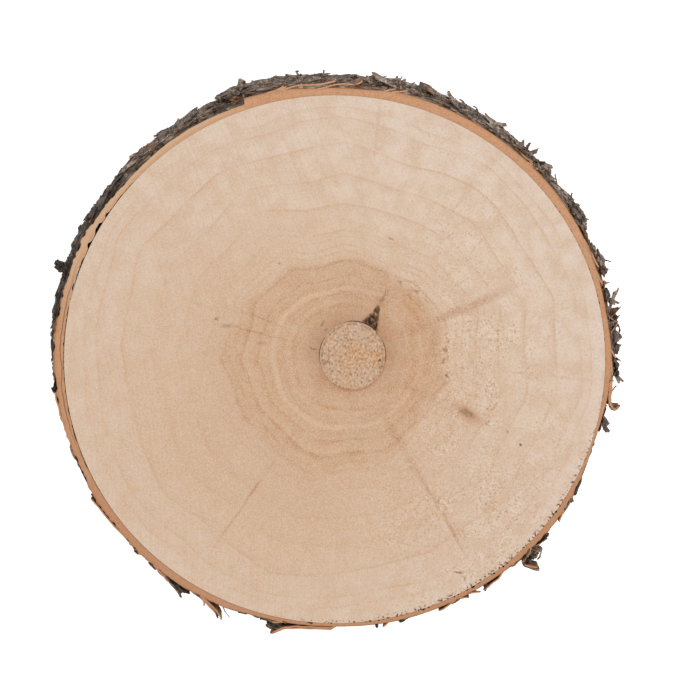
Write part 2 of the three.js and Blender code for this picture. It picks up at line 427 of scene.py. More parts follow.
# Where years end, and how strong each line is.
HEART_LINES = [
    (0.205, 0.5), (0.255, 0.6), (0.318, 0.8), (0.372, 0.9), (0.41, 0.3), (0.436, 0.3), (0.472, 0.15),
]
SAP_LINES = [(0.5, 0.7), (0.597, 0.8), (0.697, 0.8), (0.808, 1.0), (0.905, 0.8), (0.945, 0.5)]
YEAR_LINES = [
    # lines, how far they fade inwards and outwards, strength, colour
    (SAP_LINES, 0.04, 0.004, 0.24, "#B88658"),
    (SAP_LINES, 0.006, 0.005, 0.78, "#CB9766"),
    (HEART_LINES, 0.007, 0.006, 1.4, "#B5783F"),
]
print(len(SAP_LINES) + len(HEART_LINES), "years are drawn")


# %% Where a point of the wood lies
def wood_places(add):
    """Where a point lies, and the noises that several parts of the finish share."""
    coords = add("TexCoord", out="Object")
    from_pith = add("VectorMath", {0: coords, 1: (*PITH_AT * MM, 0)}, operation="SUBTRACT")
    right, up, _ = add("SeparateXYZ", {0: from_pith}).node.outputs
    ring = add("Attribute", out="Fac", attribute_name="ring")

    # The rings waver by a millimetre or two, as growth does.
    waver = add("TexNoise", {"Vector": coords, "Scale": per_mm(17), "Detail": 1.5})
    sway = add("TexNoise", {"Vector": coords, "Scale": per_mm(42), "Detail": 1})
    wavering = add("Math", {0: waver, 1: 0.02, 2: -0.04}, operation="MULTIPLY_ADD")
    swaying = add("Math", {0: sway, 1: 0.06, 2: wavering}, operation="MULTIPLY_ADD")
    return SimpleNamespace(
        coords=coords, from_pith=from_pith, right=right, up=up, ring=ring, waver=waver,
        year=add("Math", {0: ring, 1: swaying}),
        heading=add("VectorMath", {0: from_pith}, operation="NORMALIZE"),
        clouds=add("TexNoise", {"Vector": coords, "Scale": per_mm(26), "Detail": 3}),
        patchy=add("TexNoise", {"Vector": coords, "Scale": per_mm(18), "Detail": 3}),
        crumbs=add("TexNoise", {"Vector": coords, "Scale": per_mm(0.85), "Detail": 1}),
    )


# %% Heartwood, sapwood and year lines
def heart_and_sapwood(add, at):
    """The slow change of colour, and how much of the heart a point has."""
    # Sapwood is pinkish white towards the top and the right, and browner towards the lower left.
    slant = add("VectorMath", {0: at.heading, 1: (0.6, 0.8, 0)}, operation="DOT_PRODUCT")
    slanted = add("Math", {0: at.clouds, 1: 1.6, 2: slant}, operation="MULTIPLY_ADD")
    brown_side = add("MapRange", {0: slanted, 1: 1.7, 2: -0.1})
    pale = add("ValToRGB", {0: at.year}, SAPWOOD_PALE)
    brown = add("ValToRGB", {0: at.year}, SAPWOOD_BROWN)
    sapwood = add("Mix", {0: brown_side, 6: pale, 7: brown}, data_type="RGBA")

    # Heartwood has a pale band and a brown line for each year, and is oranger towards the right.
    ringed_share = add("MapRange", {0: at.patchy, 1: 0.36, 2: 0.6, 3: 0.75, 4: 1})
    even = add("ValToRGB", {0: at.year}, HEARTWOOD)
    ringed = add("ValToRGB", {0: at.year}, HEART_RINGS)
    heartwood = add("Mix", {0: ringed_share, 6: even, 7: ringed}, data_type="RGBA")
    to_right = add("VectorMath", {0: at.heading, 1: (0.95, 0.3, 0)}, operation="DOT_PRODUCT")
    warmth = add("MapRange", {0: to_right, 1: -0.1, 2: 1, 3: 0, 4: 0.6})
    smoke = add("MapRange", {0: at.clouds, 1: 0.5, 2: 0.7, 3: 0, 4: 0.35})
    for share, hue in ((warmth, "#BC7C45"), (smoke, "#BFA48D")):
        heartwood = add("Mix", {0: share, 6: heartwood, 7: hue}, data_type="RGBA")
    heartwood = add("VectorMath", {0: heartwood, 1: HEART_TONE}, operation="MULTIPLY")

    # The heart ends in a blurred edge with a darker line.
    heart = add("Attribute", out="Fac", attribute_name="heart")
    blurred = add("Math", {0: at.waver, 1: 0.22, 2: heart}, operation="MULTIPLY_ADD")
    heart_share = add("MapRange", {0: blurred, 1: 1.16, 2: 0.94}, interpolation_type="SMOOTHSTEP")
    colour = add("Mix", {0: heart_share, 6: sapwood, 7: heartwood}, data_type="RGBA")
    halved = add("Math", {0: blurred, 1: 0.5}, operation="MULTIPLY")
    edge = add("ValToRGB", {0: halved}, [(0.45, 0), (0.512, 0.4), (0.524, 0)])
    return add("Mix", {0: edge, 6: colour, 7: "#BE8B5C"}, data_type="RGBA"), heart_share


def year_lines(add, at, colour):
    """A year ends in a thin line, plainer in some places than in others."""
    plain = add("MapRange", {0: at.patchy, 1: 0.36, 2: 0.6, 3: 0.25, 4: 1})
    for ends, inwards, outwards, strength, hue in YEAR_LINES:
        stops = [(0, 0)]
        for end, depth in ends:
            stops += [(end - inwards, 0), (end, depth), (end + outwards, 0)]
        lines = add("ValToRGB", {0: at.year}, stops)
        drawn = add("Math", {0: lines, 1: plain}, operation="MULTIPLY")
        share = add("Math", {0: drawn, 1: strength}, operation="MULTIPLY")
        colour = add("Mix", {0: share, 6: colour, 7: hue}, data_type="RGBA")
    return colour


# %% [markdown]
# ### Rays and saw marks
# Rays are thin sheets of cells that run out from the pith and show as brown streaks. A wave texture would
# space them evenly, so they are listed one by one, and each is the distance to a line, bent by noise. The
# saw's marks are noise that is stretched along the cut.

# %% Rays and saw marks
RAYS = [
    # degrees, start and end in millimetres from the pith, width in millimetres, strength
    (234.4, 62, 114, 1.0, 1.0), (233.5, 30, 72, 0.9, 0.3), (299.2, 56, 110, 1.5, 0.75),
    (300.6, 70, 106, 0.7, 0.5), (298.5, 24, 74, 2.6, 0.5), (330.5, 18, 64, 2.6, 0.4),
    (157, 26, 62, 0.8, 0.7), (166, 20, 70, 0.8, 0.7), (161, 45, 112, 1.2, 0.12), (23.5, 24, 84, 3.4, 0.9),
    (354, 62, 112, 1.0, 0.3), (84, 84, 118, 1.2, 0.35), (56, 66, 106, 1.2, 0.25), (196, 60, 118, 1.0, 0.12),
    (118, 60, 108, 1.0, 0.12), (268, 80, 112, 0.8, 0.1), (330, 70, 112, 1.0, 0.12),
]
RAY_WANDER = 2.4
RAY_FADE_IN, RAY_FADE_OUT = 14, 16
print(len(RAYS), "rays are drawn")


def pith_rays(add, at, colour):
    """Each ray is a narrow streak on a line out from the pith."""
    wander = add("TexNoise", {"Vector": at.coords, "Scale": per_mm(11), "Detail": 2})
    rays = 0.0
    for degrees, start, end, width, strength in RAYS:
        angle = -math.radians(degrees)
        turned = add("VectorRotate", {"Vector": at.from_pith, "Angle": angle}, rotation_type="Z_AXIS")
        along, aside, _ = add("SeparateXYZ", {0: turned}).node.outputs
        strayed = add("Math", {0: wander, 1: RAY_WANDER * MM, 2: aside}, operation="MULTIPLY_ADD")
        off_line = add("Math", {0: strayed, 1: RAY_WANDER / 2 * MM}, operation="SUBTRACT")
        distance = add("Math", {0: off_line}, operation="ABSOLUTE")
        across = add("MapRange", {0: distance, 1: width * MM, 2: 0.1 * width * MM, 3: 0, 4: strength},
                     interpolation_type="SMOOTHSTEP")
        begun = add("MapRange", {0: along, 1: start * MM, 2: (start + RAY_FADE_IN) * MM})
        ended = add("MapRange", {0: along, 1: end * MM, 2: (end - RAY_FADE_OUT) * MM})
        inside = add("Math", {0: begun, 1: ended}, operation="MULTIPLY")
        rays = add("Math", {0: across, 1: inside, 2: rays}, operation="MULTIPLY_ADD")
    broken = add("MapRange", {0: at.patchy, 1: 0.3, 2: 0.6, 3: 0.4, 4: 1})
    share = add("Math", {0: rays, 1: broken}, operation="MULTIPLY")
    return add("Mix", {0: share, 6: colour, 7: "#AA6E3E"}, data_type="RGBA")


def saw_marks(add, at, colour):
    """Marks on the left, upright below and slanting above, a little coarser than life so that they show."""
    height = add("Math", {0: at.up, 1: 80 * MM})
    bent = add("Math", {0: height, 1: height}, operation="MULTIPLY")
    mark_x = add("Math", {0: bent, 1: 1.17, 2: at.right}, operation="MULTIPLY_ADD")
    marks_at = add("CombineXYZ", {0: mark_x, 1: at.up})
    marks_scaled = add("Mapping", {0: marks_at, 3: (per_mm(0.75), per_mm(60), 1)})
    marks = add("TexNoise", {"Vector": marks_scaled, "Scale": 1, "Detail": 3})
    left = add("MapRange", {0: at.right, 1: 45 * MM, 2: -20 * MM, 3: 0.2, 4: 1})
    depth = add("MapRange", {0: marks, 1: 0.45, 2: 0.7, 3: 0, 4: 0.32})
    share = add("Math", {0: depth, 1: left}, operation="MULTIPLY")
    return add("Mix", {0: share, 6: colour, 7: "#C59B74"}, data_type="RGBA")


# %% [markdown]
# ### Torn grain, pores and marks
# Where the saw ran against the grain it tore out crumbs and left pits. Their pale and brown are partly their
# own colour and partly painted highlight and painted shade of the torn relief. They are one fine noise, cut
# at its high and its low end, and let through only in patches. The brown marks are listed one by one, because
# the eye knows the slice by them. Each is the length of a vector in a mapping that turns an oval into a
# circle.

# %% Torn grain, pores and marks
SPECKS = [
    # size in millimetres, detail, range of the noise that shows, strength, colour
    (8, 4, 0.4, 0.66, 0.55, "#CDA886"),
    (0.8, 2, 0.45, 0.7, 0.32, "#C2986F"),
    (0.45, 1, 0.38, 0.66, 0.42, "#E6D2BE"),
]
MARKS = [
    # brown marks, in millimetres from the pith: x, y, half length, half width, degrees, strength
    (-13.6, 14.4, 1.9, 0.8, 60, 0.6), (-11.8, 11.9, 1.3, 0.8, 30, 0.7), (-17.6, 3.3, 2.4, 0.7, -20, 0.8),
    (41.4, 2.5, 1.9, 1.1, -50, 0.6), (40.5, -2.2, 1.7, 0.9, 80, 0.5), (42.0, -9.0, 1.5, 0.7, -50, 0.7),
    (42.6, 6.5, 1.2, 0.6, 70, 0.5), (21.3, 33.4, 1.9, 1.0, -25, 0.5), (28.0, 29.4, 2.4, 1.2, -30, 0.5),
    (33.0, 24.8, 2.6, 0.5, -50, 0.5), (38.2, 16.5, 2.2, 0.5, -65, 0.5), (-60.5, 16.8, 1.4, 0.8, 0, 0.7),
    (-56.0, 13.6, 3.4, 1.2, 8, 0.35), (-40.5, 5.9, 2.6, 1.0, 0, 0.3), (-48.0, 19.5, 2.2, 0.7, -30, 0.3),
    (74.9, -40.4, 1.3, 0.6, -45, 1.0), (69.0, -34.5, 1.2, 0.6, -40, 0.5), (48.5, -98.8, 3.4, 0.8, -3, 0.7),
    (50.2, -101.6, 1.6, 0.6, 80, 0.5), (-32.5, 41.7, 0.9, 0.6, 0, 0.8), (17.2, 52.8, 1.5, 0.6, -30, 0.6),
    (60.0, -30.5, 2.0, 1.3, -30, 0.5),
]
print(len(MARKS), "marks are drawn")


def torn_grain(add, at, colour, heart_share):
    """Pale crumbs and brown pits in patches, partly painted highlight and shade, most of them on the right,
    and how torn the wood is.
    """
    torn_at = add("TexNoise", {"Vector": at.coords, "Scale": per_mm(15), "Detail": 5})
    torn_share = add("MapRange", {0: torn_at, 1: 0.4, 2: 0.62, 3: 0.3, 4: 1})
    for limit in (
        add("MapRange", {0: at.right, 1: 0, 2: 40 * MM, 3: 0.12, 4: 1}),
        add("MapRange", {0: at.right, 1: 100 * MM, 2: 62 * MM, 3: 0.3, 4: 1}),
        add("MapRange", {0: at.up, 1: 75 * MM, 2: 5 * MM, 3: 0.3, 4: 1}),
        add("MapRange", {0: heart_share, 3: 1, 4: 0.4}),
    ):
        torn_share = add("Math", {0: torn_share, 1: limit}, operation="MULTIPLY")
    pits = add("MapRange", {0: at.crumbs, 1: 0.44, 2: 0.3, 3: 0, 4: 0.85})
    crumb_and_highlight = add("MapRange", {0: at.crumbs, 1: 0.55, 2: 0.68, 3: 0, 4: 0.8})
    # The pale crumbs are partly painted highlight, and the brown pits partly painted shade.
    for kind, hue in ((pits, "#9C6A42"), (crumb_and_highlight, "#EEDCC8")):
        share = add("Math", {0: kind, 1: torn_share}, operation="MULTIPLY")
        colour = add("Mix", {0: share, 6: colour, 7: hue}, data_type="RGBA")
    return colour, torn_share


def add_marks(add, from_pith, marks, ragged):
    """How marked a spot is, from a list of oval marks, whose edges a noise makes ragged."""
    marked = 0.0
    for x, y, half_length, half_width, degrees, strength in marks:
        inside = add("Mapping", {
            0: from_pith, 1: (x * MM, y * MM, 0), 2: (0, 0, math.radians(degrees)),
            3: (half_length * MM, half_width * MM, 1),
        }, vector_type="TEXTURE")
        reach = add("VectorMath", {0: inside}, operation="LENGTH")
        frayed = add("Math", {0: ragged, 1: 2.4, 2: reach}, operation="MULTIPLY_ADD")
        share = add("MapRange", {0: frayed, 1: 2.2, 2: 1.5, 3: 0, 4: strength})
        marked = add("Math", {0: marked, 1: share}, operation="MAXIMUM")
    return marked


def pores_and_marks(add, at, colour):
    """Soft blotches, and pores too fine to see one by one, lie over everything. Then come the marks."""
    noises = []
    for size, detail, start, end, strength, hue in SPECKS:
        noises.append(add("TexNoise", {"Vector": at.coords, "Scale": per_mm(size), "Detail": detail}))
        share = add("MapRange", {0: noises[-1], 1: start, 2: end, 3: 0, 4: strength})
        colour = add("Mix", {0: share, 6: colour, 7: hue}, data_type="RGBA")
    halo = add("Attribute", out="Fac", attribute_name="halo")
    marked = add_marks(add, at.from_pith, MARKS, at.crumbs)
    for share, hue in ((halo, "#B98656"), (marked, "#8A5E3D")):
        colour = add("Mix", {0: share, 6: colour, 7: hue}, data_type="RGBA")
    return colour, noises[1]


# %% [markdown]
# ### Bore, rim and stains
# Sap and the saw left their marks at the bore and at the rim, and the dark of the rim's pits is painted
# shade.
# They could be painted on vertices, but a finish can measure its distance to the bore by itself, and only the
# check and the pocket need an attribute.

# %% Bore, rim and stains
def beside_the_plug(add, at, colour):
    """Sap left an orange line along the lower edge of the bore, and stained the wood beside and above it."""
    from_bore = add("Mapping", {0: at.from_pith, 3: (*plug_half.to_2d() * MM, 1)}, vector_type="TEXTURE")
    out_of_bore = add("VectorMath", {0: from_bore}, operation="LENGTH")
    upward = add("SeparateXYZ", {0: at.heading}, out="Y")
    line = add("MapRange", {0: out_of_bore, 1: 1.07, 2: 1.01, 3: 0, 4: 0.75})
    low_edge = add("MapRange", {0: upward, 1: 0.1, 2: -0.5, 3: 0.1, 4: 1})
    collar = add("MapRange", {0: out_of_bore, 1: 1.75, 2: 1.0, 3: 0, 4: 0.42})
    beside = add("MapRange", {0: upward, 1: -0.7, 2: 0.1})
    for near, side, hue in ((line, low_edge, "#BD7E50"), (collar, beside, "#A06E48")):
        share = add("Math", {0: near, 1: side}, operation="MULTIPLY")
        colour = add("Mix", {0: share, 6: colour, 7: hue}, data_type="RGBA")
    return colour


def pits_and_stains(add, at, colour):
    """Painted shade in pits that the saw tore inside the rim on the lower right, and the stained check and
    pocket.
    """
    pit_noise = add("TexNoise", {"Vector": at.coords, "Scale": per_mm(1.1), "Detail": 0})
    pitted = add("MapRange", {0: pit_noise, 1: 0.41, 2: 0.33, 3: 0, 4: 0.9})
    at_rim = add("MapRange", {0: at.ring, 1: 0.982, 2: 0.995})
    to_pits = add("VectorMath", {0: at.heading, 1: (0.5, -0.866, 0)}, operation="DOT_PRODUCT")
    in_reach = add("MapRange", {0: to_pits, 1: 0.56, 2: 0.88})
    rim_row = add("Math", {0: at_rim, 1: in_reach}, operation="MULTIPLY")
    pit_shade_row = add("Math", {0: rim_row, 1: pitted}, operation="MULTIPLY")
    # Painted shade in the pits along the rim.
    colour = add("Mix", {0: pit_shade_row, 6: colour, 7: "#3F2C20"}, data_type="RGBA")

    # The check and the pocket are dark grey-brown with orange fibres.
    fibres_at = add("Mapping", {0: at.coords, 2: (0, 0, 0.44), 3: (per_mm(1.5), per_mm(2.4), 1)})
    fibres = add("TexNoise", {"Vector": fibres_at, "Scale": 1, "Detail": 3})
    stained = add("ValToRGB", {0: fibres}, [
        (0.36, "#33261F"), (0.5, "#5F4739"), (0.58, "#9C6A45"), (0.7, "#BE9570"),
    ])
    stain = add("Attribute", out="Fac", attribute_name="stain")
    return add("Mix", {0: stain, 6: colour, 7: stained}, data_type="RGBA")


# %% Sawn wood finish
def sawn_birch(add):
    at = wood_places(add)
    colour, heart_share = heart_and_sapwood(add, at)
    colour = year_lines(add, at, colour)
    colour = pith_rays(add, at, colour)
    colour = saw_marks(add, at, colour)
    colour, torn_share = torn_grain(add, at, colour, heart_share)
    colour, pores = pores_and_marks(add, at, colour)
    colour = beside_the_plug(add, at, colour)
    colour = pits_and_stains(add, at, colour)
    roughness = add("MapRange", {0: pores, 3: 0.62, 4: 0.82})
    height = add("Math", {0: at.crumbs, 1: torn_share, 2: pores}, operation="MULTIPLY_ADD")
    bump = add("Bump", {"Strength": 0.3, "Distance": 0.2 * MM, "Height": height})
    return {
        "Base Color": colour, "Normal": bump, "Roughness": roughness,
        "IOR": WOOD_IOR, "Specular IOR Level": 0.3,
    }


wood_finish = new_finish("Sawn birch end grain", sawn_birch)

# %% Wood piece
WOOD_COLUMNS = 480
WOOD_SECTION = (
    [(0.0, FACE * share) for share in shares(3)]
    + [(share, FACE) for share in shares(176)[1:]]
    + [(1.0, FACE * (1 - share)) for share in shares(3)[1:]]
    + [(1 - share, 0.0) for share in shares(10)[1:]]
)


def wood_point(angle, share, height):
    direction = Vector((math.cos(angle), math.sin(angle)))
    spot = direction * lerp(bore_radius(direction), reach_from_pith(direction), share)
    if height == FACE and 0 < share < 1:
        height -= CHECK_DEPTH * check_depth(spot)[0] + POCKET_DEPTH * pocket_depth(spot)
    return Vector((PITH_AT.x + spot.x, PITH_AT.y + spot.y, height)) * MM


def mark_wood(bm):
    ring, heart, stain, halo = point_values(bm, "ring", "heart", "stain", "halo")
    for vert in bm.verts:
        spot = vert.co.to_2d() / MM - PITH_AT
        share = spot.length / reach_from_pith(spot.normalized())
        angle = math.atan2(spot.y, spot.x)
        vert[ring] = share - ring_bulge(angle, share)
        vert[heart] = vert[ring] / listed(HEART_REACH, angle)
        if vert.co.z > 0.5 * FACE * MM:
            vert[stain] = max(check_depth(spot)[1], 0.5 * pocket_depth(spot))
            vert[halo] = 0.45 * pocket_depth(spot, 2.2)


wood_mesh = bmesh.new()
add_wrapped_sheet(wood_mesh, WOOD_COLUMNS, WOOD_SECTION, wood_point)
mark_wood(wood_mesh)
finish_piece("wood_disc", wood_mesh, "wood", [wood_finish])

# %% [markdown]
# ## The plug
# The plug is a dowel of coarser wood, cut from end grain and pressed into the bore, a little below the face.
# Its top is torn by the saw, so the sheet that makes it has a fine grid there, and noise lifts and drops its
# points by a tenth of a millimetre or two. Its finish is a salt-and-pepper speckle of pale crumbs and dark
# pores.

# %% Plug finish
# Dark marks on the plug: painted shade in a wormhole on the right, and a worn notch on the left, listed as on
# the wood.
PLUG_MARKS = [(11.9, -2.2, 0.9, 0.8, 0, 1.0), (-11.2, -2.6, 2.2, 1.0, 0, 0.45)]


def torn_end_grain(add):
    coords = add("TexCoord", out="Object")
    from_pith = add("VectorMath", {0: coords, 1: (*PITH_AT * MM, 0)}, operation="SUBTRACT")
    tear_at = add("Mapping", {0: coords, 2: (0, 0, math.radians(40)), 3: (1, 0.75, 1)})
    grains = add("TexNoise", {"Vector": tear_at, "Scale": per_mm(0.9), "Detail": 3})
    zones = add("TexNoise", {"Vector": coords, "Scale": per_mm(9), "Detail": 2})
    pores = add("MapRange", {0: grains, 1: 0.47, 2: 0.33, 3: 0, 4: 0.75})
    pale = add("MapRange", {0: grains, 1: 0.54, 2: 0.68, 3: 0, 4: 0.6})
    arc = add("Attribute", out="Fac", attribute_name="arc")
    marked = add_marks(add, from_pith, PLUG_MARKS, grains)
    colour = add("ValToRGB", {0: zones}, [(0.35, "#C8A78C"), (0.5, "#CAA585"), (0.65, "#CB9C73")])
    # The arc is painted shade for a groove just inside the plug's rim.
    for share, hue in ((pores, "#8E6C51"), (pale, "#E2CBB4"), (arc, "#7B6556"), (marked, "#4A372C")):
        colour = add("Mix", {0: share, 6: colour, 7: hue}, data_type="RGBA")
    bump = add("Bump", {"Strength": 0.4, "Distance": 0.3 * MM, "Height": grains})
    return {
        "Base Color": colour, "Normal": bump, "Roughness": 0.85, "IOR": WOOD_IOR, "Specular IOR Level": 0.25,
    }


plug_finish = new_finish("Torn end grain plug", torn_end_grain)

# %% Plug piece
PLUG_COLUMNS = 180
PLUG_TOP = 2 * plug_half.z
PLUG_ROUND = 0.5
PLUG_SECTION = (
    [(share, 0.0) for share in shares(10)]
    + [(1.0, (PLUG_TOP - PLUG_ROUND) * share) for share in shares(8)[1:]]
    + [(1 - share, PLUG_TOP) for share in shares(44)]
)


def plug_point(angle, share, height):
    spot = Vector((plug_half.x * math.cos(angle), plug_half.y * math.sin(angle))) * share
    if height == PLUG_TOP:
        tear = noise.noise(Vector((spot.x, spot.y, 5)) * 0.9)
        tear += 0.6 * noise.noise(Vector((spot.x, spot.y, 9)) * 2.1)
        height -= 0.1 + 0.15 * tear + 0.8 * bore_gap(angle) * smoothstep(share, 0.95, 1)
    return Vector((PITH_AT.x + spot.x, PITH_AT.y + spot.y, height)) * MM


def mark_plug(bm):
    """An arc of painted shade just inside the rim, standing in for a groove, on the upper left and the right.
    """
    arc, = point_values(bm, "arc")
    for vert in bm.verts:
        spot = vert.co.to_2d() / MM - PITH_AT
        angle = math.atan2(spot.y, spot.x)
        off_arc = abs(math.hypot(spot.x / plug_half.x, spot.y / plug_half.y) - 0.925)
        reach = between(angle, 60, 195, 16) + 0.6 * between(angle, 335, 40, 12)
        broken = smoothstep(noise.noise(Vector((spot.x, spot.y, 2)) * 0.5), -0.4, 0.2)
        vert[arc] = 0.7 * reach * broken * (1 - smoothstep(off_arc, 0.005, 0.04))


plug_mesh = bmesh.new()
add_wrapped_sheet(plug_mesh, PLUG_COLUMNS, PLUG_SECTION, plug_point)
mark_plug(plug_mesh)
finish_piece("plug", plug_mesh, "centre_plug", [plug_finish])

# %% [markdown]
# ## The inner bark
# The saw left the inner bark as a clean orange band. It is a ring of uneven width whose cut face is all but
# flat, with a ragged outer edge. On the left it has come away from the wood and leaves a dark crack, and on
# the lower right the crack is only a row of pits, so the gap to the wood opens by noise there. The finish is
# corky and matt, with faint layers that follow the rim. The attribute "layer" runs from 0 at the wood to 1
# at the outer edge and draws them.

# %% Inner bark finish
def cut_inner_bark(add):
    coords = add("TexCoord", out="Object")
    right, up, _ = add("SeparateXYZ", {0: coords}).node.outputs
    layer = add("Attribute", out="Fac", attribute_name="layer")
    weathered = add("Attribute", out="Fac", attribute_name="weathered")
    speck = add("TexNoise", {"Vector": coords, "Scale": per_mm(0.9), "Detail": 4})
    drift = add("TexNoise", {"Vector": coords, "Scale": per_mm(16), "Detail": 3})

    # Faint layers follow the rim, and painted shade makes the band browner towards the bottom of the picture.
    layered = add("Math", {0: drift, 1: 0.9, 2: layer}, operation="MULTIPLY_ADD")
    bands = add("Math", {0: layered, 1: 23.0}, operation="MULTIPLY")
    wave = add("Math", {0: bands}, operation="SINE")
    band_share = add("MapRange", {0: wave, 1: 0.1, 2: 1, 3: 0, 4: 0.12})
    pale = add("MapRange", {0: drift, 1: 0.52, 2: 0.7, 3: 0, 4: 0.5})
    grit = add("MapRange", {0: speck, 1: 0.3, 2: 0.55, 3: 0.65, 4: 0})
    lower_shade = add("MapRange", {0: up, 1: 70 * MM, 2: -75 * MM, 3: 0, 4: 0.55})

    # On the left the layers have parted along a wandering line, painted dark as the shade in the gap.
    parted = add("MapRange", {0: right, 1: -112 * MM, 2: -119 * MM})
    split_at = add("Math", {0: drift, 1: -0.9, 2: layer}, operation="MULTIPLY_ADD")
    off_split = add("Math", {0: split_at, 1: 0.1})
    near_split = add("Math", {0: off_split}, operation="ABSOLUTE")
    split = add("MapRange", {0: near_split, 1: 0.08, 2: 0.02, 3: 0, 4: 0.75})
    split_shade = add("Math", {0: split, 1: parted}, operation="MULTIPLY")

    # The upright sides are fibrous and darker than the cut.
    facing = add("SeparateXYZ", {0: add("NewGeometry", out="Normal")}, out="Z")
    side = add("MapRange", {0: facing, 1: 0.75, 2: 0.3})
    upright = add("Mapping", {0: coords, 3: (1, 1, 0.3)})
    fibre = add("TexNoise", {"Vector": upright, "Scale": per_mm(1.6), "Detail": 5})
    bark_side = add("ValToRGB", {0: fibre}, [(0.35, "#5E3F2B"), (0.55, "#94663F"), (0.7, "#B58259")])

    colour = add("ValToRGB", {0: layer}, [
        (0.0, "#BD8A64"), (0.1, "#CC9872"), (0.55, "#D19D77"), (0.85, "#C9946D"), (1.0, "#A4714C"),
    ])
    for share, hue in (
        (band_share, "#B27E57"), (pale, "#D3AA88"), (grit, "#B07C55"), (weathered, "#D3B190"),
        (lower_shade, "#B07C58"), (split_shade, "#6B4A35"), (side, bark_side),
    ):
        colour = add("Mix", {0: share, 6: colour, 7: hue}, data_type="RGBA")
    bump = add("Bump", {"Strength": 0.4, "Distance": 0.25 * MM, "Height": speck})
    return {
        "Base Color": colour, "Normal": bump, "Roughness": 0.8, "IOR": WOOD_IOR, "Specular IOR Level": 0.25,
    }


inner_bark_finish = new_finish("Cut inner bark", cut_inner_bark)

# %% Inner bark piece
INNER_COLUMNS = 1440
INNER_SECTION = (
    [(0.0, share) for share in shares(4)]
    + [(share, 1.0) for share in shares(10)[1:]]
    + [(1.0, 1 - share) for share in shares(8)[1:]]
    + [(1 - share, 0.0) for share in shares(3)[1:]]
)


def crack_width(angle):
    """The gap between wood and inner bark: a long crack on the left and pits on the lower right."""
    holes = max(0, ripple(angle, 0, 5, 1, 1)) + max(0, ripple(angle, 0, 1.6, 1, 16) - 0.1)
    long_crack = between(angle, 138, 212, 6) * (0.2 + 0.6 * holes) + 0.1 * between(angle, 212, 262, 6)
    long_crack += between(angle, 146, 163, 3) * min(1.1, 2.6 * max(0, ripple(angle, 0, 4.5, 1, 17) + 0.05))
    pitted = max(between(angle, 262, 338, 6), 0.3 * between(angle, 338, 42, 6))
    pits = pitted * 2.2 * max(0, ripple(angle, 0, 1.5, 1, 2) - 0.15)
    return 0.04 + long_crack + min(pits, 0.8)


def inner_bark_point(angle, across, up):
    foot = wood_radius(angle) + crack_width(angle)
    ragged = 0.22 + 0.9 * between(angle, 142, 232, 8) + 0.5 * between(angle, 308, 336, 6)
    height = FACE * up
    tear = ragged * ripple(angle, height, 2.2, 9, 3) + 0.1 * ripple(angle, height, 0.9, 3, 4)
    rim = inner_bark_face(angle) + tear
    if up == 1:
        height -= 0.05 + 0.1 * abs(ripple(angle, 9 * across, 3, 1.5, 5)) + 0.35 * smoothstep(across, 0.85, 1)
    return place(angle, lerp(foot, rim, across), height)


def mark_layers(bm):
    layer, weathered = point_values(bm, "layer", "weathered")
    for vert in bm.verts:
        spot = vert.co.to_2d() / MM - MIDDLE.to_2d()
        angle = math.atan2(spot.y, spot.x)
        vert[layer] = (spot.length - wood_radius(angle)) / (inner_bark_face(angle) - wood_radius(angle))
        vert[weathered] = between(angle, 112, 166, 8) * lerp(0.3, 0.75, smoothstep(vert[layer], 0.3, 0.7))


inner_mesh = bmesh.new()
add_wrapped_sheet(inner_mesh, INNER_COLUMNS, INNER_SECTION, inner_bark_point)
mark_layers(inner_mesh)
finish_piece("inner_bark_ring", inner_mesh, "inner_bark", [inner_bark_finish])

# %% [markdown]
# ## The outer bark's wall
# Under the flakes the outer bark is a rough, furrowed wall, worn through to the inner bark in places. It is
# another wrapped sheet. Long upright noise makes the furrows, shorter noise breaks them into scales, and
# where the strip was torn away on the upper left the top edge slopes down like a broken roof. Two attributes
# tell the finish what the shape did. The first is high in a furrow, where the finish paints shade, and it
# also holds how black the bark is on the upper left. "bare" is 1 where the wall is worn thin. A third,
# "shade", makes some parts paler than others.

# %% Outer bark shape
CROWN_DROP, CROWN_LOW, CROWN_TORN = 0.8, 2.6, 1.5


def bark_blackness(angle):
    """How black the bark is: darkest on the upper left."""
    return 0.65 * between(angle, 136, 190, 8)


def cover(angle, height):
    """How whole the outer bark is, from 0 where it has worn away to 1."""
    patches = ripple(angle, height, 11, 9, 6) + 0.5 * ripple(angle, height, 4, 4, 7)
    return smoothstep(patches + 1.4 * (bark_left(angle) - 0.5), -0.15, 0.15)


def furrows(angle, height):
    """Relief of the bark's face, from about -1 in a furrow to 1 on a ridge."""
    long_ones = ripple(angle, height, 4.5, 16, 8)
    scales = ripple(angle, height, 2.0, 4.5, 9)
    plates = ripple(angle, height, 7, 3.5, 15)
    grit = ripple(angle, height, 0.9, 1.8, 10)
    return 0.55 * long_ones + 0.5 * plates + 0.55 * scales + lerp(0.3, 0.6, torn(angle)) * grit


def bark_radius(angle, height):
    kept = cover(angle, height)
    thickness = outer_bark_thickness(angle)
    relief = lerp(0.12, min(0.5 * thickness, 0.9), kept) * furrows(angle, height)
    return inner_bark_face(angle) + lerp(0.15, LAYER_GAP + thickness, kept) + relief


def crown_height(angle):
    """Height of the wall's upper edge, which lies below the sawn face."""
    low_side = 0.5 - 0.5 * math.sin(angle)
    chips = 0.5 + 0.5 * ripple(angle, 0, 3, 1, 11)
    return FACE - 0.2 - (CROWN_DROP + CROWN_LOW * low_side) * (0.4 + chips) - CROWN_TORN * torn(angle)


print(f"the wall's top lies {FACE - crown_height(math.pi / 2):.1f} mm below the face at 90 degrees")

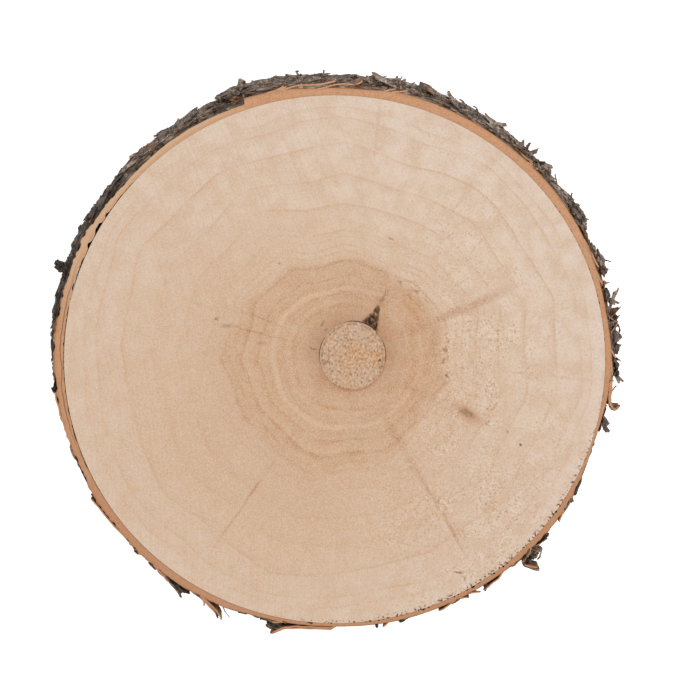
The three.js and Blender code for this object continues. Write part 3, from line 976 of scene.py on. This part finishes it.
# %% Outer bark finish
# Weathered bark is dry and fibrous: grey streaks over dark brown, with hardly any shine. Its lining, which
# shows on the back of a curl, is browner and warmer.
def flaking_bark(add):
    coords = add("TexCoord", out="Object")
    hollow_shade_and_dark_bark, bare, shade, fresh = (
        add("Attribute", out="Fac", attribute_name=name) for name in ("hollow_shade_and_dark_bark", "bare", "shade", "fresh")
    )
    facing = add("SeparateXYZ", {0: add("NewGeometry", out="Normal")}, out="Z")
    upright = add("Mapping", {0: coords, 3: (1, 1, 0.3)})
    fibre = add("TexNoise", {"Vector": upright, "Scale": per_mm(1.6), "Detail": 5, "Roughness": 0.65})
    blotch = add("TexNoise", {"Vector": coords, "Scale": per_mm(7), "Detail": 3})
    flecks = add("TexNoise", {"Vector": coords, "Scale": per_mm(2.4), "Detail": 2})

    # Seen from above, bark shows the edges of its layers: streaks that run round the log.
    from_axis = add("VectorMath", {0: coords, 1: (*MIDDLE.to_2d() * MM, 0)}, operation="SUBTRACT")
    across = add("VectorMath", {0: from_axis, 1: (1, 1, 0)}, operation="MULTIPLY")
    radius = add("VectorMath", {0: across}, operation="LENGTH")
    place_x, place_y, height = add("SeparateXYZ", {0: from_axis}).node.outputs
    slid = add("Math", {0: place_y, 1: height})
    layers_at = add("CombineXYZ", {0: radius, 1: place_x, 2: slid})
    layers_scaled = add("Mapping", {0: layers_at, 3: (per_mm(0.8), per_mm(5), per_mm(5))})
    layers = add("TexNoise", {"Vector": layers_scaled, "Scale": 1, "Detail": 4, "Roughness": 0.6})
    from_above = add("MapRange", {0: facing, 1: 0.2, 2: 0.6})
    fibre = add("Mix", {0: from_above, 2: fibre, 3: layers})

    # Rust and pale flecks lie on the fibres, and each flake has a shade of its own.
    colour = add("ValToRGB", {0: fibre}, [
        (0.30, "#2A211B"), (0.42, "#5C4D42"), (0.54, "#857468"), (0.68, "#BAA797"),
    ])
    rust = add("MapRange", {0: blotch, 1: 0.55, 2: 0.7, 3: 0, 4: 0.6})
    fleck = add("MapRange", {0: flecks, 1: 0.65, 2: 0.7, 3: 0, 4: 0.7})
    for share, hue in ((rust, "#7E5A40"), (fleck, "#CDB49C")):
        colour = add("Mix", {0: share, 6: colour, 7: hue}, data_type="RGBA")
    tone = add("MapRange", {0: shade, 3: 0.5, 4: 1.3})
    colour = add("VectorMath", {0: colour, "Scale": tone}, operation="SCALE")

    # The saw left a fresh orange edge wherever it cut a flake at the level of the face.
    worn = add("ValToRGB", {0: fibre}, [(0.35, "#6A4730"), (0.5, "#9A6C48"), (0.65, "#BC8A63")])
    level = add("MapRange", {0: height, 1: (FACE - 0.5) * MM, 2: (FACE - 0.25) * MM})
    upward = add("MapRange", {0: facing, 1: 0.4, 2: 0.8})
    level_top = add("Math", {0: level, 1: upward}, operation="MULTIPLY")
    cut = add("Math", {0: level_top, 1: fresh}, operation="MULTIPLY")
    # Painted shade darkens the furrows and dents, and the same mix blackens the bark on the upper left.
    for share, hue in ((hollow_shade_and_dark_bark, "#1E1713"), (bare, worn), (cut, "#B88762")):
        colour = add("Mix", {0: share, 6: colour, 7: hue}, data_type="RGBA")
    bump = add("Bump", {"Strength": 0.7, "Distance": 0.5 * MM, "Height": fibre})
    return {
        "Base Color": colour, "Normal": bump, "Roughness": 0.92, "IOR": WOOD_IOR, "Specular IOR Level": 0.2,
    }


def bark_lining(add):
    coords = add("TexCoord", out="Object")
    upright = add("Mapping", {0: coords, 3: (1, 1, 0.35)})
    fibre = add("TexNoise", {"Vector": upright, "Scale": per_mm(1.8), "Detail": 4})
    colour = add("ValToRGB", {0: fibre}, [
        (0.32, "#3E2F26"), (0.5, "#6E5543"), (0.62, "#94704F"), (0.75, "#C4946C"),
    ])
    bump = add("Bump", {"Strength": 0.5, "Distance": 0.3 * MM, "Height": fibre})
    return {
        "Base Color": colour, "Normal": bump, "Roughness": 0.85, "IOR": WOOD_IOR, "Specular IOR Level": 0.25,
    }


bark_finish = new_finish("Weathered flaking bark", flaking_bark)
lining_finish = new_finish("Corky bark lining", bark_lining)

# %% Outer bark wall piece
BARK_COLUMNS = 1200
BARK_SECTION = (
    [("foot", share) for share in shares(3)]
    + [("crown", share) for share in shares(8)[1:]]
    + [("face", share) for share in shares(44)[1:]]
    + [("sole", share) for share in shares(2)[1:]]
)


def bark_wall_point(angle, part, share):
    foot = inner_bark_face(angle) + 0.05
    brow = FACE - 0.25
    crown = crown_height(angle)
    if part == "foot":
        return place(angle, foot, brow * share)
    if part == "sole":
        return place(angle, lerp(bark_radius(angle, 0), foot, share), 0)
    if part == "crown":
        coarse = 0.9 * ripple(angle, 20 * share, 2.5, 4, 12)
        fine = 0.4 * ripple(angle, 30 * share, 0.9, 3, 13)
        rough = math.sin(math.pi * share) * (coarse + fine)
        height = lerp(brow, crown, share) + min(rough, 0.6 * share)
        return place(angle, lerp(foot, max(bark_radius(angle, crown), foot + 0.1), share), min(height, brow))
    height = crown * (1 - share)
    return place(angle, max(bark_radius(angle, height), foot + 0.1), height)


def mark_bark(bm):
    hollow_shade_and_dark_bark, bare, shade = point_values(bm, "hollow_shade_and_dark_bark", "bare", "shade")
    for vert in bm.verts:
        angle = math.atan2(vert.co.y / MM - MIDDLE.y, vert.co.x / MM - MIDDLE.x)
        height = vert.co.z / MM
        # Painted shade in the furrows, and how black the bark is on the upper left.
        vert[hollow_shade_and_dark_bark] = max(0.85 * smoothstep(furrows(angle, height), -0.05, -0.55), bark_blackness(angle))
        vert[bare] = 1 - cover(angle, height)
        vert[shade] = 0.5 + 0.5 * ripple(angle, height, 9, 12, 14)


bark_mesh = bmesh.new()
add_wrapped_sheet(bark_mesh, BARK_COLUMNS, BARK_SECTION, bark_wall_point)
mark_bark(bark_mesh)
finish_piece("bark_wall", bark_mesh, "outer_bark", [bark_finish])

# %% [markdown]
# ## Flakes and curls
# The bark peels in thin sheets that let go along one upright edge and curl outwards. A flake is a small grid:
# it leaves the wall at a slant, and its heading turns further the nearer it gets to its free edge. Its upper
# and lower edges and its tip are torn, so noise makes them ragged. Where a flake reaches the sawn face it is
# cut off level. The field of large flakes stands where the solids have it, from the same repeatable draws.
# The curls are listed one by one, near those of the solids, with a few more.

# %% Flake shape
SUNK = 0.35
PEEL_STEPS = 12
FLAKE_LOWEST = 0.8
FLAKE_VALUES = ("shade", "bare", "hollow_shade_and_dark_bark", "layer", "fresh")


def peel(width, rise, curl, share, late=2):
    """Distance along the wall and away from it, at a share of the flake's width.

    The bend grows with the share to the power late. A late below 1 is the share at which the flake folds.
    """
    along = away = 0.0
    step = share * width / PEEL_STEPS
    for index in range(PEEL_STEPS):
        gone = share * (index + 0.5) / PEEL_STEPS
        heading = rise + curl * (gone ** late if late >= 1 else smoothstep(gone, late, late + 0.2))
        along += step * math.cos(heading)
        away += step * math.sin(heading)
    return along, away


def add_flake(bm, seed, flake, columns, rows):
    at, side = math.radians(flake["at"]), flake["side"]
    ragged, lean = flake.get("ragged", 0.3), flake.get("lean", 0)

    def shape(across, up):
        tear = noise.noise(Vector((3.1 * up, seed * 7.3, 0)) * 1.9)
        reach = across * (1 - ragged * max(0, tear + 0.2) * across)
        along, away = peel(flake["width"], flake["rise"], flake["curl"], reach, flake.get("late", 2))
        angle = at + side * along / WOOD_RADIUS
        low = lerp(flake["low"], flake["tip_low"], across)
        high = lerp(flake["high"], flake["tip_high"], across)
        frayed = noise.noise(Vector((5 * across, seed * 3.7, 8 * round(up)))) * ragged * 3
        height = lerp(low, high, up) + frayed * abs(2 * up - 1)
        height = min(max(height, FLAKE_LOWEST), FACE - 0.05 - 0.8 * torn(at))
        buckle = 0.7 * noise.noise(Vector((0.25 * along, 0.25 * height, seed * 1.3))) * across
        if "base" in flake:
            wall = flake["base"](angle)
        else:
            wall = lerp(bark_radius(angle, height), outer_bark_face(angle), smoothstep(across, 0, 0.5))
        tilt = lean * across ** flake.get("lean_late", 1) * (up if lean > 0 else up - 1)
        shift = flake.get("shift", -SUNK) * smoothstep(across, 0, flake.get("spring", 0.001))
        return place(angle, wall + shift + away + buckle + tilt, height)

    verts = add_sheet(bm, columns, rows, shape)
    if side < 0:
        bmesh.ops.reverse_faces(bm, faces=list({face for vert in verts for face in vert.link_faces}))
    shade, bare, hollow_shade_and_dark_bark, layer, fresh = point_values(bm, *FLAKE_VALUES)
    for vert in verts:
        vert[shade] = flake["shade"]
        vert[hollow_shade_and_dark_bark] = bark_blackness(at)
        vert[bare] = flake.get("bare", 0)
        vert[layer] = 0.5
        vert[fresh] = flake.get("fresh", between(at, 200, 52, 5))


def new_flake_mesh():
    bm = bmesh.new()
    point_values(bm, *FLAKE_VALUES)
    return bm


print(f"a flake 10 mm wide that bends by 1 radian stands {peel(10, 0, 1, 1)[1]:.1f} mm off the wall")

# %% Field of large flakes
FLAKE_COLUMNS, FLAKE_TIERS, FLAKE_THICKNESS = 56, 2, 0.8


def scatter(index, salt):
    """A repeatable draw between 0 and 1."""
    value = math.sin(index * 12.9898 + salt * 78.233) * 43758.5453
    return value - math.floor(value)


def field_flake(column, tier):
    draws = [scatter(column + tier * FLAKE_COLUMNS, salt) for salt in range(9)]
    at = (column + 0.5 * tier + 0.7 * (draws[1] - 0.5)) * 360 / FLAKE_COLUMNS
    low = FACE / FLAKE_TIERS * tier + lerp(-2, 3, draws[2])
    height = lerp(10, 17, draws[3])
    width = lerp(6, 14, draws[4])
    slant = lerp(0.8, 4.6, looseness(math.radians(at)) * draws[5] ** 2) / width
    return {
        "at": at, "side": -1 if draws[6] < 0.5 else 1, "width": width, "rise": slant / 2, "curl": 1.5 * slant,
        "low": low, "high": low + height, "tip_low": low + 0.35 * height * draws[7],
        "tip_high": low + height * (1 - 0.35 * draws[8]), "shade": draws[5], "ragged": 0.35,
    }


large_mesh = new_flake_mesh()
for tier in range(FLAKE_TIERS):
    for column in range(FLAKE_COLUMNS):
        index = column + tier * FLAKE_COLUMNS
        flake = field_flake(column, tier)
        at = math.radians(flake["at"])
        if scatter(index, 9) < bark_left(at) * (1 - between(at, 158, 188, 2)):
            add_flake(large_mesh, index, flake, 9, 7)
print("points in the field of flakes:", len(large_mesh.verts))

# %% Curls
CURL_KEYS = (
    "at", "side", "width", "rise", "curl", "late", "low", "high", "tip_low", "tip_high", "shade", "lean",
    "lean_late",
)
CURLS = [
    (163, -1, 6, 0.3, 0.2, 2, 11, 24, 15, 22, 0.1, -2), (357, -1, 18, 0.04, 3.0, 6, 8, 28, 11, 24, 0.4, 0),
    (8.6, 1, 10.5, 0.3, 0.1, 2, 14, 18, 8, 21, 0.9, -3.5),
    (315.8, -1, 14, 0.16, 2.0, 0.42, 12, 28, 13, 28, 0.7, 2.4, 2),
    (74.5, -1, 15, 0.2, 2.9, 0.5, 12, 28, 15, 28, 0.4, 0), (96.2, 1, 6, 1.1, 0.1, 1, 15, 21, 17, 19, 0.8, 0),
    (92.6, -1, 4.6, 1.35, 0.1, 1, 14, 21, 15, 19, 0.4, -1),
    (78.4, -1, 4.6, 1.3, 0, 1, 15, 20, 17, 19, 0.6, 0), (240, 1, 14, 0.2, 0.7, 2, 6, 28, 14, 24, 0.4, 0),
    (231, 1, 15, 0.18, 0.5, 2, 4, 25, 8, 24, 0.3, 0), (99, -1, 6, 0.5, 0.3, 2, 8, 20, 13, 17, 0.6, 0),
    (76, 1, 4.5, 0.2, 0.3, 2, 4, 18, 9, 15, 0.5, 0), (46, -1, 10, 0.3, 0.1, 2, 9, 23, 14, 21, 0.4, 0),
]

for index, curl in enumerate(CURLS):
    add_flake(large_mesh, 500 + index, dict(zip(CURL_KEYS, curl), fresh=1), 20, 9)
bark_finishes = [bark_finish, lining_finish]
finish_piece("bark_flakes", large_mesh, "outer_bark", bark_finishes, FLAKE_THICKNESS)

# %% [markdown]
# ## Small scales and tufts
# Between the large flakes the wall is covered with small scales, and long thin sheets lie along the top edge
# of the picture. On the right the bark is mostly gone, and what is left stands in shaggy tufts with bare
# gaps between them. They are the same flake with smaller sizes, so a seeded random draw places them.

# %% Scales and sheets
SCALES, SHEETS = 420, 150
draw = random.Random(11)


def spread(count, density):
    """Angles in degrees, drawn at random and kept by density."""
    kept = []
    while len(kept) < count:
        at = draw.uniform(0, 360)
        if draw.random() < density(math.radians(at)):
            kept.append(at)
    return kept


def torn_bit(at, low, tall, width, slant, bend, **more):
    return {
        "at": at, "side": draw.choice((-1, 1)), "width": width, "rise": 0.5 * slant, "curl": bend * slant,
        "low": low, "high": low + tall, "tip_low": low + draw.uniform(0, 0.4) * tall,
        "tip_high": low + tall * draw.uniform(0.6, 1), "shade": draw.random(), "ragged": 0.45, **more,
    }


small_mesh = new_flake_mesh()
for index, at in enumerate(spread(SCALES, lambda angle: bark_left(angle) ** 2)):
    width = draw.uniform(2.5, 6.5)
    slant = (0.3 + 1.5 * looseness(math.radians(at)) * draw.random() ** 2) / width
    tall = draw.uniform(3, 8)
    bit = torn_bit(at, draw.uniform(-2, FACE - 7), tall, width, slant, 1.4, lean=draw.uniform(-1.2, 0.8))
    add_flake(small_mesh, 1000 + index, bit, 4, 4)
for index, at in enumerate(spread(SHEETS, lambda angle: between(angle, 40, 158, 12))):
    width = draw.uniform(10, 26)
    tall = draw.uniform(9, 20)
    top = FACE - 0.8 - 5 * draw.random() ** 1.5
    bit = torn_bit(at, top - tall, tall, width, draw.uniform(0, 0.09), 1.5, ragged=0.5)
    bit["shift"] = draw.uniform(-1.4, 0.2)
    bit["tip_high"] = top - draw.uniform(0, 2.5)
    bit["lean"] = draw.uniform(-1.5, 0.6)
    add_flake(small_mesh, 2000 + index, bit, 10, 5)
print(SCALES, "scales and", SHEETS, "sheets")

# %% Fringe, tufts and single bits
FRINGE, SCALE_THICKNESS = 220, 0.45
TUFTS = [
    # degrees at the middle, half the spread in degrees, number of bits
    (31, 2.2, 4), (21, 2.6, 4), (38.5, 2, 1), (34.8, 0.8, 1), (13.5, 1.0, 1), (7.6, 1.2, 3), (4.6, 1.4, 1),
    (1.8, 1.0, 2), (358, 1.0, 1), (346.5, 0.7, 1), (47, 1, 2),
]
BITS = [
    # single torn bits, listed as the curls are
    (0.3, -1, 10, 1.0, -2.2, 1, 10, 24.5, 12, 23.5, 0.15, 0),
    (352.6, 1, 5.2, 0.5, -0.1, 1, 21.5, 24.6, 22.5, 23.8, 0.6, 0),
    (6.2, -1, 6, 0.4, 0.2, 2, 6, 23, 9, 20, 0.15, -2.4), (5.2, -1, 6, 0.2, 0.2, 2, 8, 24, 10, 21, 0.2, 1.4),
    (9.6, -1, 5, 0.75, 0.1, 2, 17, 24.8, 20, 24.6, 0.7, 0),
    (6, 1, 5.5, 0.75, 0.1, 2, 17, 24.8, 20, 24.6, 0.7, 0),
    (6.8, 1, 6.5, 0.9, 2.8, 1, 12, 22, 14, 20, 0.5, 0), (347.4, -1, 5, 0.9, -0.6, 1, 8, 22, 10, 18, 0.1, -2),
    (315.7, 1, 9, 0.12, 0.25, 2, 8, 24.6, 10, 24.2, 0.3, -1.5),
    (315.4, 1, 8.6, 1.0, 1.95, 0.4, 8, 24.5, 10, 23, 0.6, -2.6),
    (84.0, -1, 6, 0.85, 0.2, 1, 17, 20.5, 18, 20, 0.5, 0),
    (77.9, -1, 5.6, 1.05, 0.2, 1, 17, 20, 18, 19.6, 0.6, 0),
    (76.2, -1, 6, 0.55, 0.4, 1, 16, 20, 17, 19, 0.3, 0), (63.4, -1, 6, 0.9, 2.6, 1, 15, 21, 16, 20, 0.4, 0),
    (60.4, -1, 6, 0.9, 2.6, 1, 14, 20, 15, 19, 0.5, 0),
    (47.2, 1, 5.6, 0.85, 0.5, 1, 14, 23, 17, 22, 0.4, 1.2),
    (47.6, -1, 5.4, 0.8, 0.4, 1, 13, 22, 15, 21, 0.5, -1.2),
    (245.6, 1, 6, 0.55, 0, 1, 22.6, 23.6, 22.8, 23.5, 0.9, 0),
    (304.2, -1, 4.5, 0.3, 0.4, 1, 14, 24, 15, 22, 0.1, -2),
    (112.5, 1, 7, 0.2, 0.3, 1, 15, 22, 17, 21, 0.3, -1.5),
    (214, -1, 9, 0.12, 0.1, 2, 8, 24, 10, 22, 0.05, 0),
]

for index, at in enumerate(spread(FRINGE, lambda angle: bark_left(angle) ** 2)):
    angle = math.radians(at)
    width = draw.uniform(2, 7)
    slant = (0.2 + 3.0 * looseness(angle) * draw.random() ** 2) / width
    tall = draw.uniform(3, 9)
    top = FACE - 0.6 - 6 * draw.random() - 3 * torn(angle) * draw.random()
    bit = torn_bit(at, top - tall, tall, width, slant, 1.6, lean=draw.uniform(-1, 1))
    add_flake(small_mesh, 3000 + index, bit, 5, 3)
for middle, half, count in TUFTS:
    for index in range(count):
        at = middle + half * draw.uniform(-1, 1)
        tall = draw.uniform(4, 9)
        top = FACE - 0.3 - 5 * draw.random() ** 1.5
        width = draw.uniform(3, 6.5)
        slant = draw.uniform(0.2, 1.0)
        bit = torn_bit(at, top - tall, tall, width, slant, draw.uniform(-0.3, 0.8))
        bit.update(lean=draw.choice((-1, 1)) * draw.uniform(1.8, 4), ragged=0.3)
        add_flake(small_mesh, 10 * middle + index, bit, 7, 5)
for index, bit in enumerate(BITS):
    add_flake(small_mesh, 5000 + index, dict(zip(CURL_KEYS, bit)), 14, 6)
finish_piece("bark_scales", small_mesh, "outer_bark", bark_finishes, SCALE_THICKNESS)

# %% [markdown]
# ## Lumps of bark
# Where several layers still hold together they make a lump with a ragged outer edge. A lump is an icosphere
# that noise swells and dents, bent to the curve of the log and half buried in the wall. The plain ones are
# listed one by one. The seeded draw adds more to the thick bark at the top and on the upper left.

# %% Lumps
LUMPS = [
    # degrees, middle's distance from the inner bark, length, thickness, height, top below the face, shade
    (32.6, 2.2, 6, 4.6, 12, 0.6, 0.2), (30.6, 2.3, 6.5, 5.2, 14, 1.0, 0.35),
    (29.0, 1.9, 5.5, 3.8, 12, 0.8, 0.5), (36.8, 0.9, 5, 1.8, 9, 1.5, 0.4),
    (23.0, 1.4, 6.5, 2.6, 12, 0.8, 0.5), (20.4, 2.3, 8, 4.2, 14, 0.6, 0.55),
    (18.6, 2.5, 5, 4.2, 12, 1.2, 0.6), (13.4, 1.5, 5, 3.2, 11, 0.8, 0.15), (7.7, 2.2, 4, 4, 10, 1.0, 0.5),
    (4.6, 1.4, 7.5, 2.8, 13, 0.6, 0.05), (2.1, 1.8, 4.5, 3.2, 11, 0.8, 0.3),
    (358.7, 2.2, 2.8, 2.6, 8, 1.0, 0.15), (357.1, 2.8, 2.4, 2.2, 6, 1.5, 0.4),
    (346.6, 1.2, 3.2, 2.2, 8, 1.0, 0.2), (345.2, 0.7, 3, 1.2, 7, 1.5, 0.1), (40.5, 0.8, 6, 1.6, 8, 1.5, 0.5),
    (47.2, 1.8, 4, 3, 9, 0.8, 0.4), (109.0, 5.6, 7, 4.4, 14, 0.8, 0.5), (110.6, 5.8, 6, 4.2, 14, 1.0, 0.5),
    (112.2, 6.0, 5, 2.8, 12, 1.2, 0.5), (113.4, 6.4, 4, 1.6, 9, 1.4, 0.4), (315.1, 3.2, 5, 4, 9, 1.2, 0.65),
    (313.2, 4.0, 4, 2.4, 8, 1.4, 0.6), (303.6, 1.5, 3.6, 2.4, 8, 1.0, 0.15),
    (257.6, 3.6, 8, 3.4, 12, 0.6, 1.0), (71.2, 3.4, 8, 3.4, 10, 1.0, 0.4), (161.2, 3.0, 4, 7, 10, 1.0, 0.1),
    (160.6, 5.4, 2.6, 4, 7, 1.2, 0.1), (162.6, 1.2, 5, 2.4, 10, 0.8, 0.1),
    (166.5, 1.2, 6, 2.2, 12, 0.8, 0.05), (170.0, 1.0, 6, 1.8, 12, 0.8, 0.1),
    (174.0, 0.8, 5, 1.6, 10, 1.0, 0.1), (182.0, 0.4, 5, 0.9, 9, 1.2, 0.05),
    (185.6, 0.6, 4, 1.2, 9, 1.0, 0.1), (192.0, 0.3, 4, 0.8, 8, 1.2, 0.1),
    (224.6, 0.9, 2.6, 1.7, 6, 1.0, 0.15), (229.2, 0.8, 4.6, 1.5, 8, 0.8, 0.2),
    (231.6, 0.9, 4.6, 1.7, 8, 0.8, 0.3), (236.4, 2.0, 9, 2.8, 12, 1.6, 0.2),
    (250.2, 0.4, 6, 0.9, 7, 1.0, 0.1), (253.0, 0.4, 5, 0.8, 7, 1.0, 0.1),
    (278.8, 1.2, 1.5, 2.6, 5, 1.4, 0.2), (284.2, 0.9, 3, 1.8, 5, 1.2, 0.2), (328.8, 1.0, 2, 2, 5, 2.0, 0.4),
    (330.7, 0.9, 3, 1.7, 6, 1.0, 0.1), (298.0, 0.6, 3.4, 1.2, 6, 1.2, 0.2),
]
MORE_LUMPS = 70
LUMP_LOWEST = 0.3


def add_lump(bm, seed, at, out, length, thickness, tall, below, shade_level, worn=0, subdivisions=3):
    made = bmesh.ops.create_icosphere(bm, subdivisions=subdivisions, radius=1)["verts"]
    shade, bare, hollow_shade_and_dark_bark = point_values(bm, "shade", "bare", "hollow_shade_and_dark_bark")
    for vert in made:
        ball = vert.co.copy()
        dent = noise.noise(ball * 1.7 + Vector((seed, 0, 0)))
        dent += 0.6 * noise.noise(ball * 4.3 + Vector((0, seed, 0)))
        swollen = ball * (1 + 0.45 * dent)
        angle = math.radians(at) - swollen.x * length / 2 / WOOD_RADIUS
        height = FACE - below + (swollen.z - 1) * tall / 2
        radius = inner_bark_face(angle) + out + swollen.y * thickness / 2
        vert.co = place(angle, radius, min(max(height, LUMP_LOWEST), FACE - 0.1))
        vert[shade] = shade_level
        # Painted shade in the dents of the lump, and how black the bark is on the upper left.
        vert[hollow_shade_and_dark_bark] = max(0.8 * smoothstep(dent, 0, -0.5), bark_blackness(angle))
        vert[bare] = worn


def lump_density(angle):
    return between(angle, 52, 180, 8) * lerp(0.35, 1, between(angle, 104, 176, 6))


lump_mesh = new_flake_mesh()
for index, lump in enumerate(LUMPS):
    add_lump(lump_mesh, 1.7 * index, *lump)
add_lump(lump_mesh, 77, 110.6, 3.4, 6, 2.8, 12, 1.2, 0.7, worn=0.8)
for index, at in enumerate(spread(MORE_LUMPS, lump_density)):
    thickness = draw.uniform(1.2, 3)
    below = draw.uniform(0.8, 5) + 1.5 * torn(math.radians(at))
    out = outer_bark_thickness(math.radians(at)) + draw.uniform(-0.8, 0.1) - 1.2 * smoothstep(at, 172, 178)
    length = draw.uniform(3, 8)
    tall = draw.uniform(5, 12)
    seed = 31 + 2.3 * index
    add_lump(lump_mesh, seed, at, out, length, thickness, tall, below, draw.random(), subdivisions=2)
finish_piece("bark_lumps", lump_mesh, "outer_bark", [bark_finish])

# %% [markdown]
# ## Lifted strips of inner bark
# At the top of the picture two thin strips of inner bark have split off the band and spring away from it,
# and torn orange slivers show here and there along the rim. They are flakes again, rooted on the inner bark
# and dressed in its finish. A strip that lies close for most of its length and lifts only at its tip has a
# high value of `late`, which keeps the bend for the end.

# %% Strips
STRIPS = [
    # degrees, side, width, rise, curl, late, low, high, shift, share over which it stands off
    (101.5, -1, 25, 0.0, 0.5, 8, 15, 24.9, 2.0),
    (93.5, -1, 20, 0.03, 1.0, 6, 14, 24.9, 1.5),
    (104, -1, 9, 0.05, 0.3, 4, 18, 24.9, 0.3),
    (102.5, -1, 5, 0.15, 0.6, 2, 19, 24.9, 0.2),
    (79.8, -1, 5, 0.3, 0.2, 3, 18, 24.9, 0.2),
    (78.2, -1, 6.5, 0.16, 0.1, 2, 18, 24.9, 0.3),
    (46.6, -1, 6, 0.1, 0.3, 2, 18, 24.9, 0.1),
    (26.5, -1, 14, 0.04, 0.1, 2, 16, 24.9, 0.2),
    (19.5, -1, 7, 0.06, 0.3, 2, 16, 24.9, 0.2),
    (16.0, 1, 3.8, 1.35, 0.3, 1, 22.5, 24.6, 0.2),
    (2.5, -1, 4, 0.3, 0.2, 1, 18, 24.9, 0.2),
    (0, -1, 16, 0.06, 0.1, 2, 15, 24.9, 0.3),
    (357.5, -1, 18.5, 0.03, 3.0, 6, 12, 24.9, 0.4),
    (357.5, -1, 19, 0.03, 3.0, 6, 14, 24.7, 1.2),
    (316.0, -1, 14.4, 0.16, 2.0, 0.42, 16, 24.9, 0.9, 0.2),
    (326.6, -1, 6, 0.14, 0.15, 1, 18, 24.9, 0.3),
    (308.6, -1, 12, 0.03, 0.1, 2, 12, 24.9, 1.4),
    (270.4, -1, 29, 0.0, 1.0, 4, 10, 24.9, 0.85, 0.05),
    (270, -1, 28.6, 0.0, 1.0, 4, 11, 24.7, 1.6, 0.05),
    (299.3, 1, 5.6, 0.15, 0.6, 1, 20, 24.9, 0.2),
    (297.4, 1, 4, 0.25, 0.3, 1, 19, 24.9, 0.2),
    (296.4, -1, 9, 0.12, 0.1, 1, 16, 24.9, 0.4),
    (281.6, -1, 3.4, 0.35, 0.3, 1, 18, 24.9, 0.2),
    (240.6, 1, 14.3, 0.2, 0.7, 2, 8, 24.9, 0.2),
    (241, 1, 4, 0.6, 0.8, 2, 18, 24.5, 0.2),
    (228.8, 1, 10, 0.12, 0.1, 2, 12, 24.7, 0.2),
    (220.5, -1, 22, 0.05, 0.06, 1, 14, 24.7, 0.2),
    (198, -1, 24, 0.01, 0.12, 3, 14, 24.9, 0.2),
]

STRIP_THICKNESS = 0.65
strip_finishes = [inner_bark_finish]

strip_mesh = new_flake_mesh()
for index, (at, side, width, rise, curl, late, low, high, shift, *spring) in enumerate(STRIPS):
    add_flake(strip_mesh, 6000 + index, {
        "at": at, "side": side, "width": width, "rise": rise, "curl": curl, "late": late,
        "low": low, "high": high + 2, "tip_low": low + 2, "tip_high": high, "shift": shift,
        "spring": spring[0] if spring else 0.45, "base": inner_bark_face, "shade": 0.5, "ragged": 0.15,
    }, 24, 4)
finish_piece("inner_bark_strips", strip_mesh, "inner_bark", strip_finishes, STRIP_THICKNESS)

# %% [markdown]
# ## Floor, light and camera
# The slice lies on a plain white floor under soft studio light: an even white sky, and one broad sun, high up
# towards the top of the picture, that gives the bark its shadows. The floor glows a little, so that it stays
# white. The camera looks down, tipped a little towards the
# top edge, so the wall of bark shows there. It aims at the point of the face in the middle of the picture.

# %% Floor and light
FLOOR_HALF = 4
SKY_STRENGTH = 0.95
SUN_STRENGTH, SUN_SPREAD, SUN_FROM = 1.7, math.radians(50), Vector((0.2, 0.4, 1))
floor_finish = new_finish("White studio floor", lambda add: {
    "Base Color": (0.97, 0.97, 0.97, 1), "Roughness": 0.9, "Specular IOR Level": 0.1,
    "Emission Color": (1, 1, 1, 1), "Emission Strength": 0.4,
})

floor_mesh = bmesh.new()
bmesh.ops.create_grid(floor_mesh, x_segments=1, y_segments=1, size=FLOOR_HALF)
floor_data = bpy.data.meshes.new("floor")
floor_mesh.to_mesh(floor_data)
floor_mesh.free()
floor_data.materials.append(floor_finish)
floor = bpy.data.objects.new("floor", floor_data)
bpy.context.scene.collection.objects.link(floor)

sky = bpy.data.worlds.new("Studio")
bpy.context.scene.world = sky
sky.use_nodes = True
sky.node_tree.nodes["Background"].inputs["Color"].default_value = (1, 1, 1, 1)
sky.node_tree.nodes["Background"].inputs["Strength"].default_value = SKY_STRENGTH

key = bpy.data.lights.new("Key", "SUN")
key.energy = SUN_STRENGTH
key.angle = SUN_SPREAD
key_object = bpy.data.objects.new("Key", key)
key_object.rotation_euler = SUN_FROM.to_track_quat("Z", "Y").to_euler()
bpy.context.scene.collection.objects.link(key_object)
bpy.context.scene.view_settings.view_transform = "Standard"
print("sky and one soft sun")

# %% Camera
PICTURE_WIDTH = 700
MM_PER_PIXEL = 0.4447
TILT = math.radians(11)
DISTANCE = 3.0
AIM_ASIDE, AIM_UP = 6.85, 5.1
AIM = Vector((MIDDLE.x + AIM_ASIDE, MIDDLE.y + AIM_UP, FACE)) * MM

lens = bpy.data.cameras.new("Camera")
lens.sensor_width = 36
lens.lens = lens.sensor_width * DISTANCE / (PICTURE_WIDTH * MM_PER_PIXEL * MM)
camera = bpy.data.objects.new("Camera", lens)
camera.location = AIM + DISTANCE * Vector((0, math.sin(TILT), math.cos(TILT)))
camera.rotation_euler = (-TILT, 0, 0)
bpy.context.scene.collection.objects.link(camera)
bpy.context.scene.camera = camera
print(f"camera {DISTANCE} m away with a {lens.lens:.0f} mm lens")
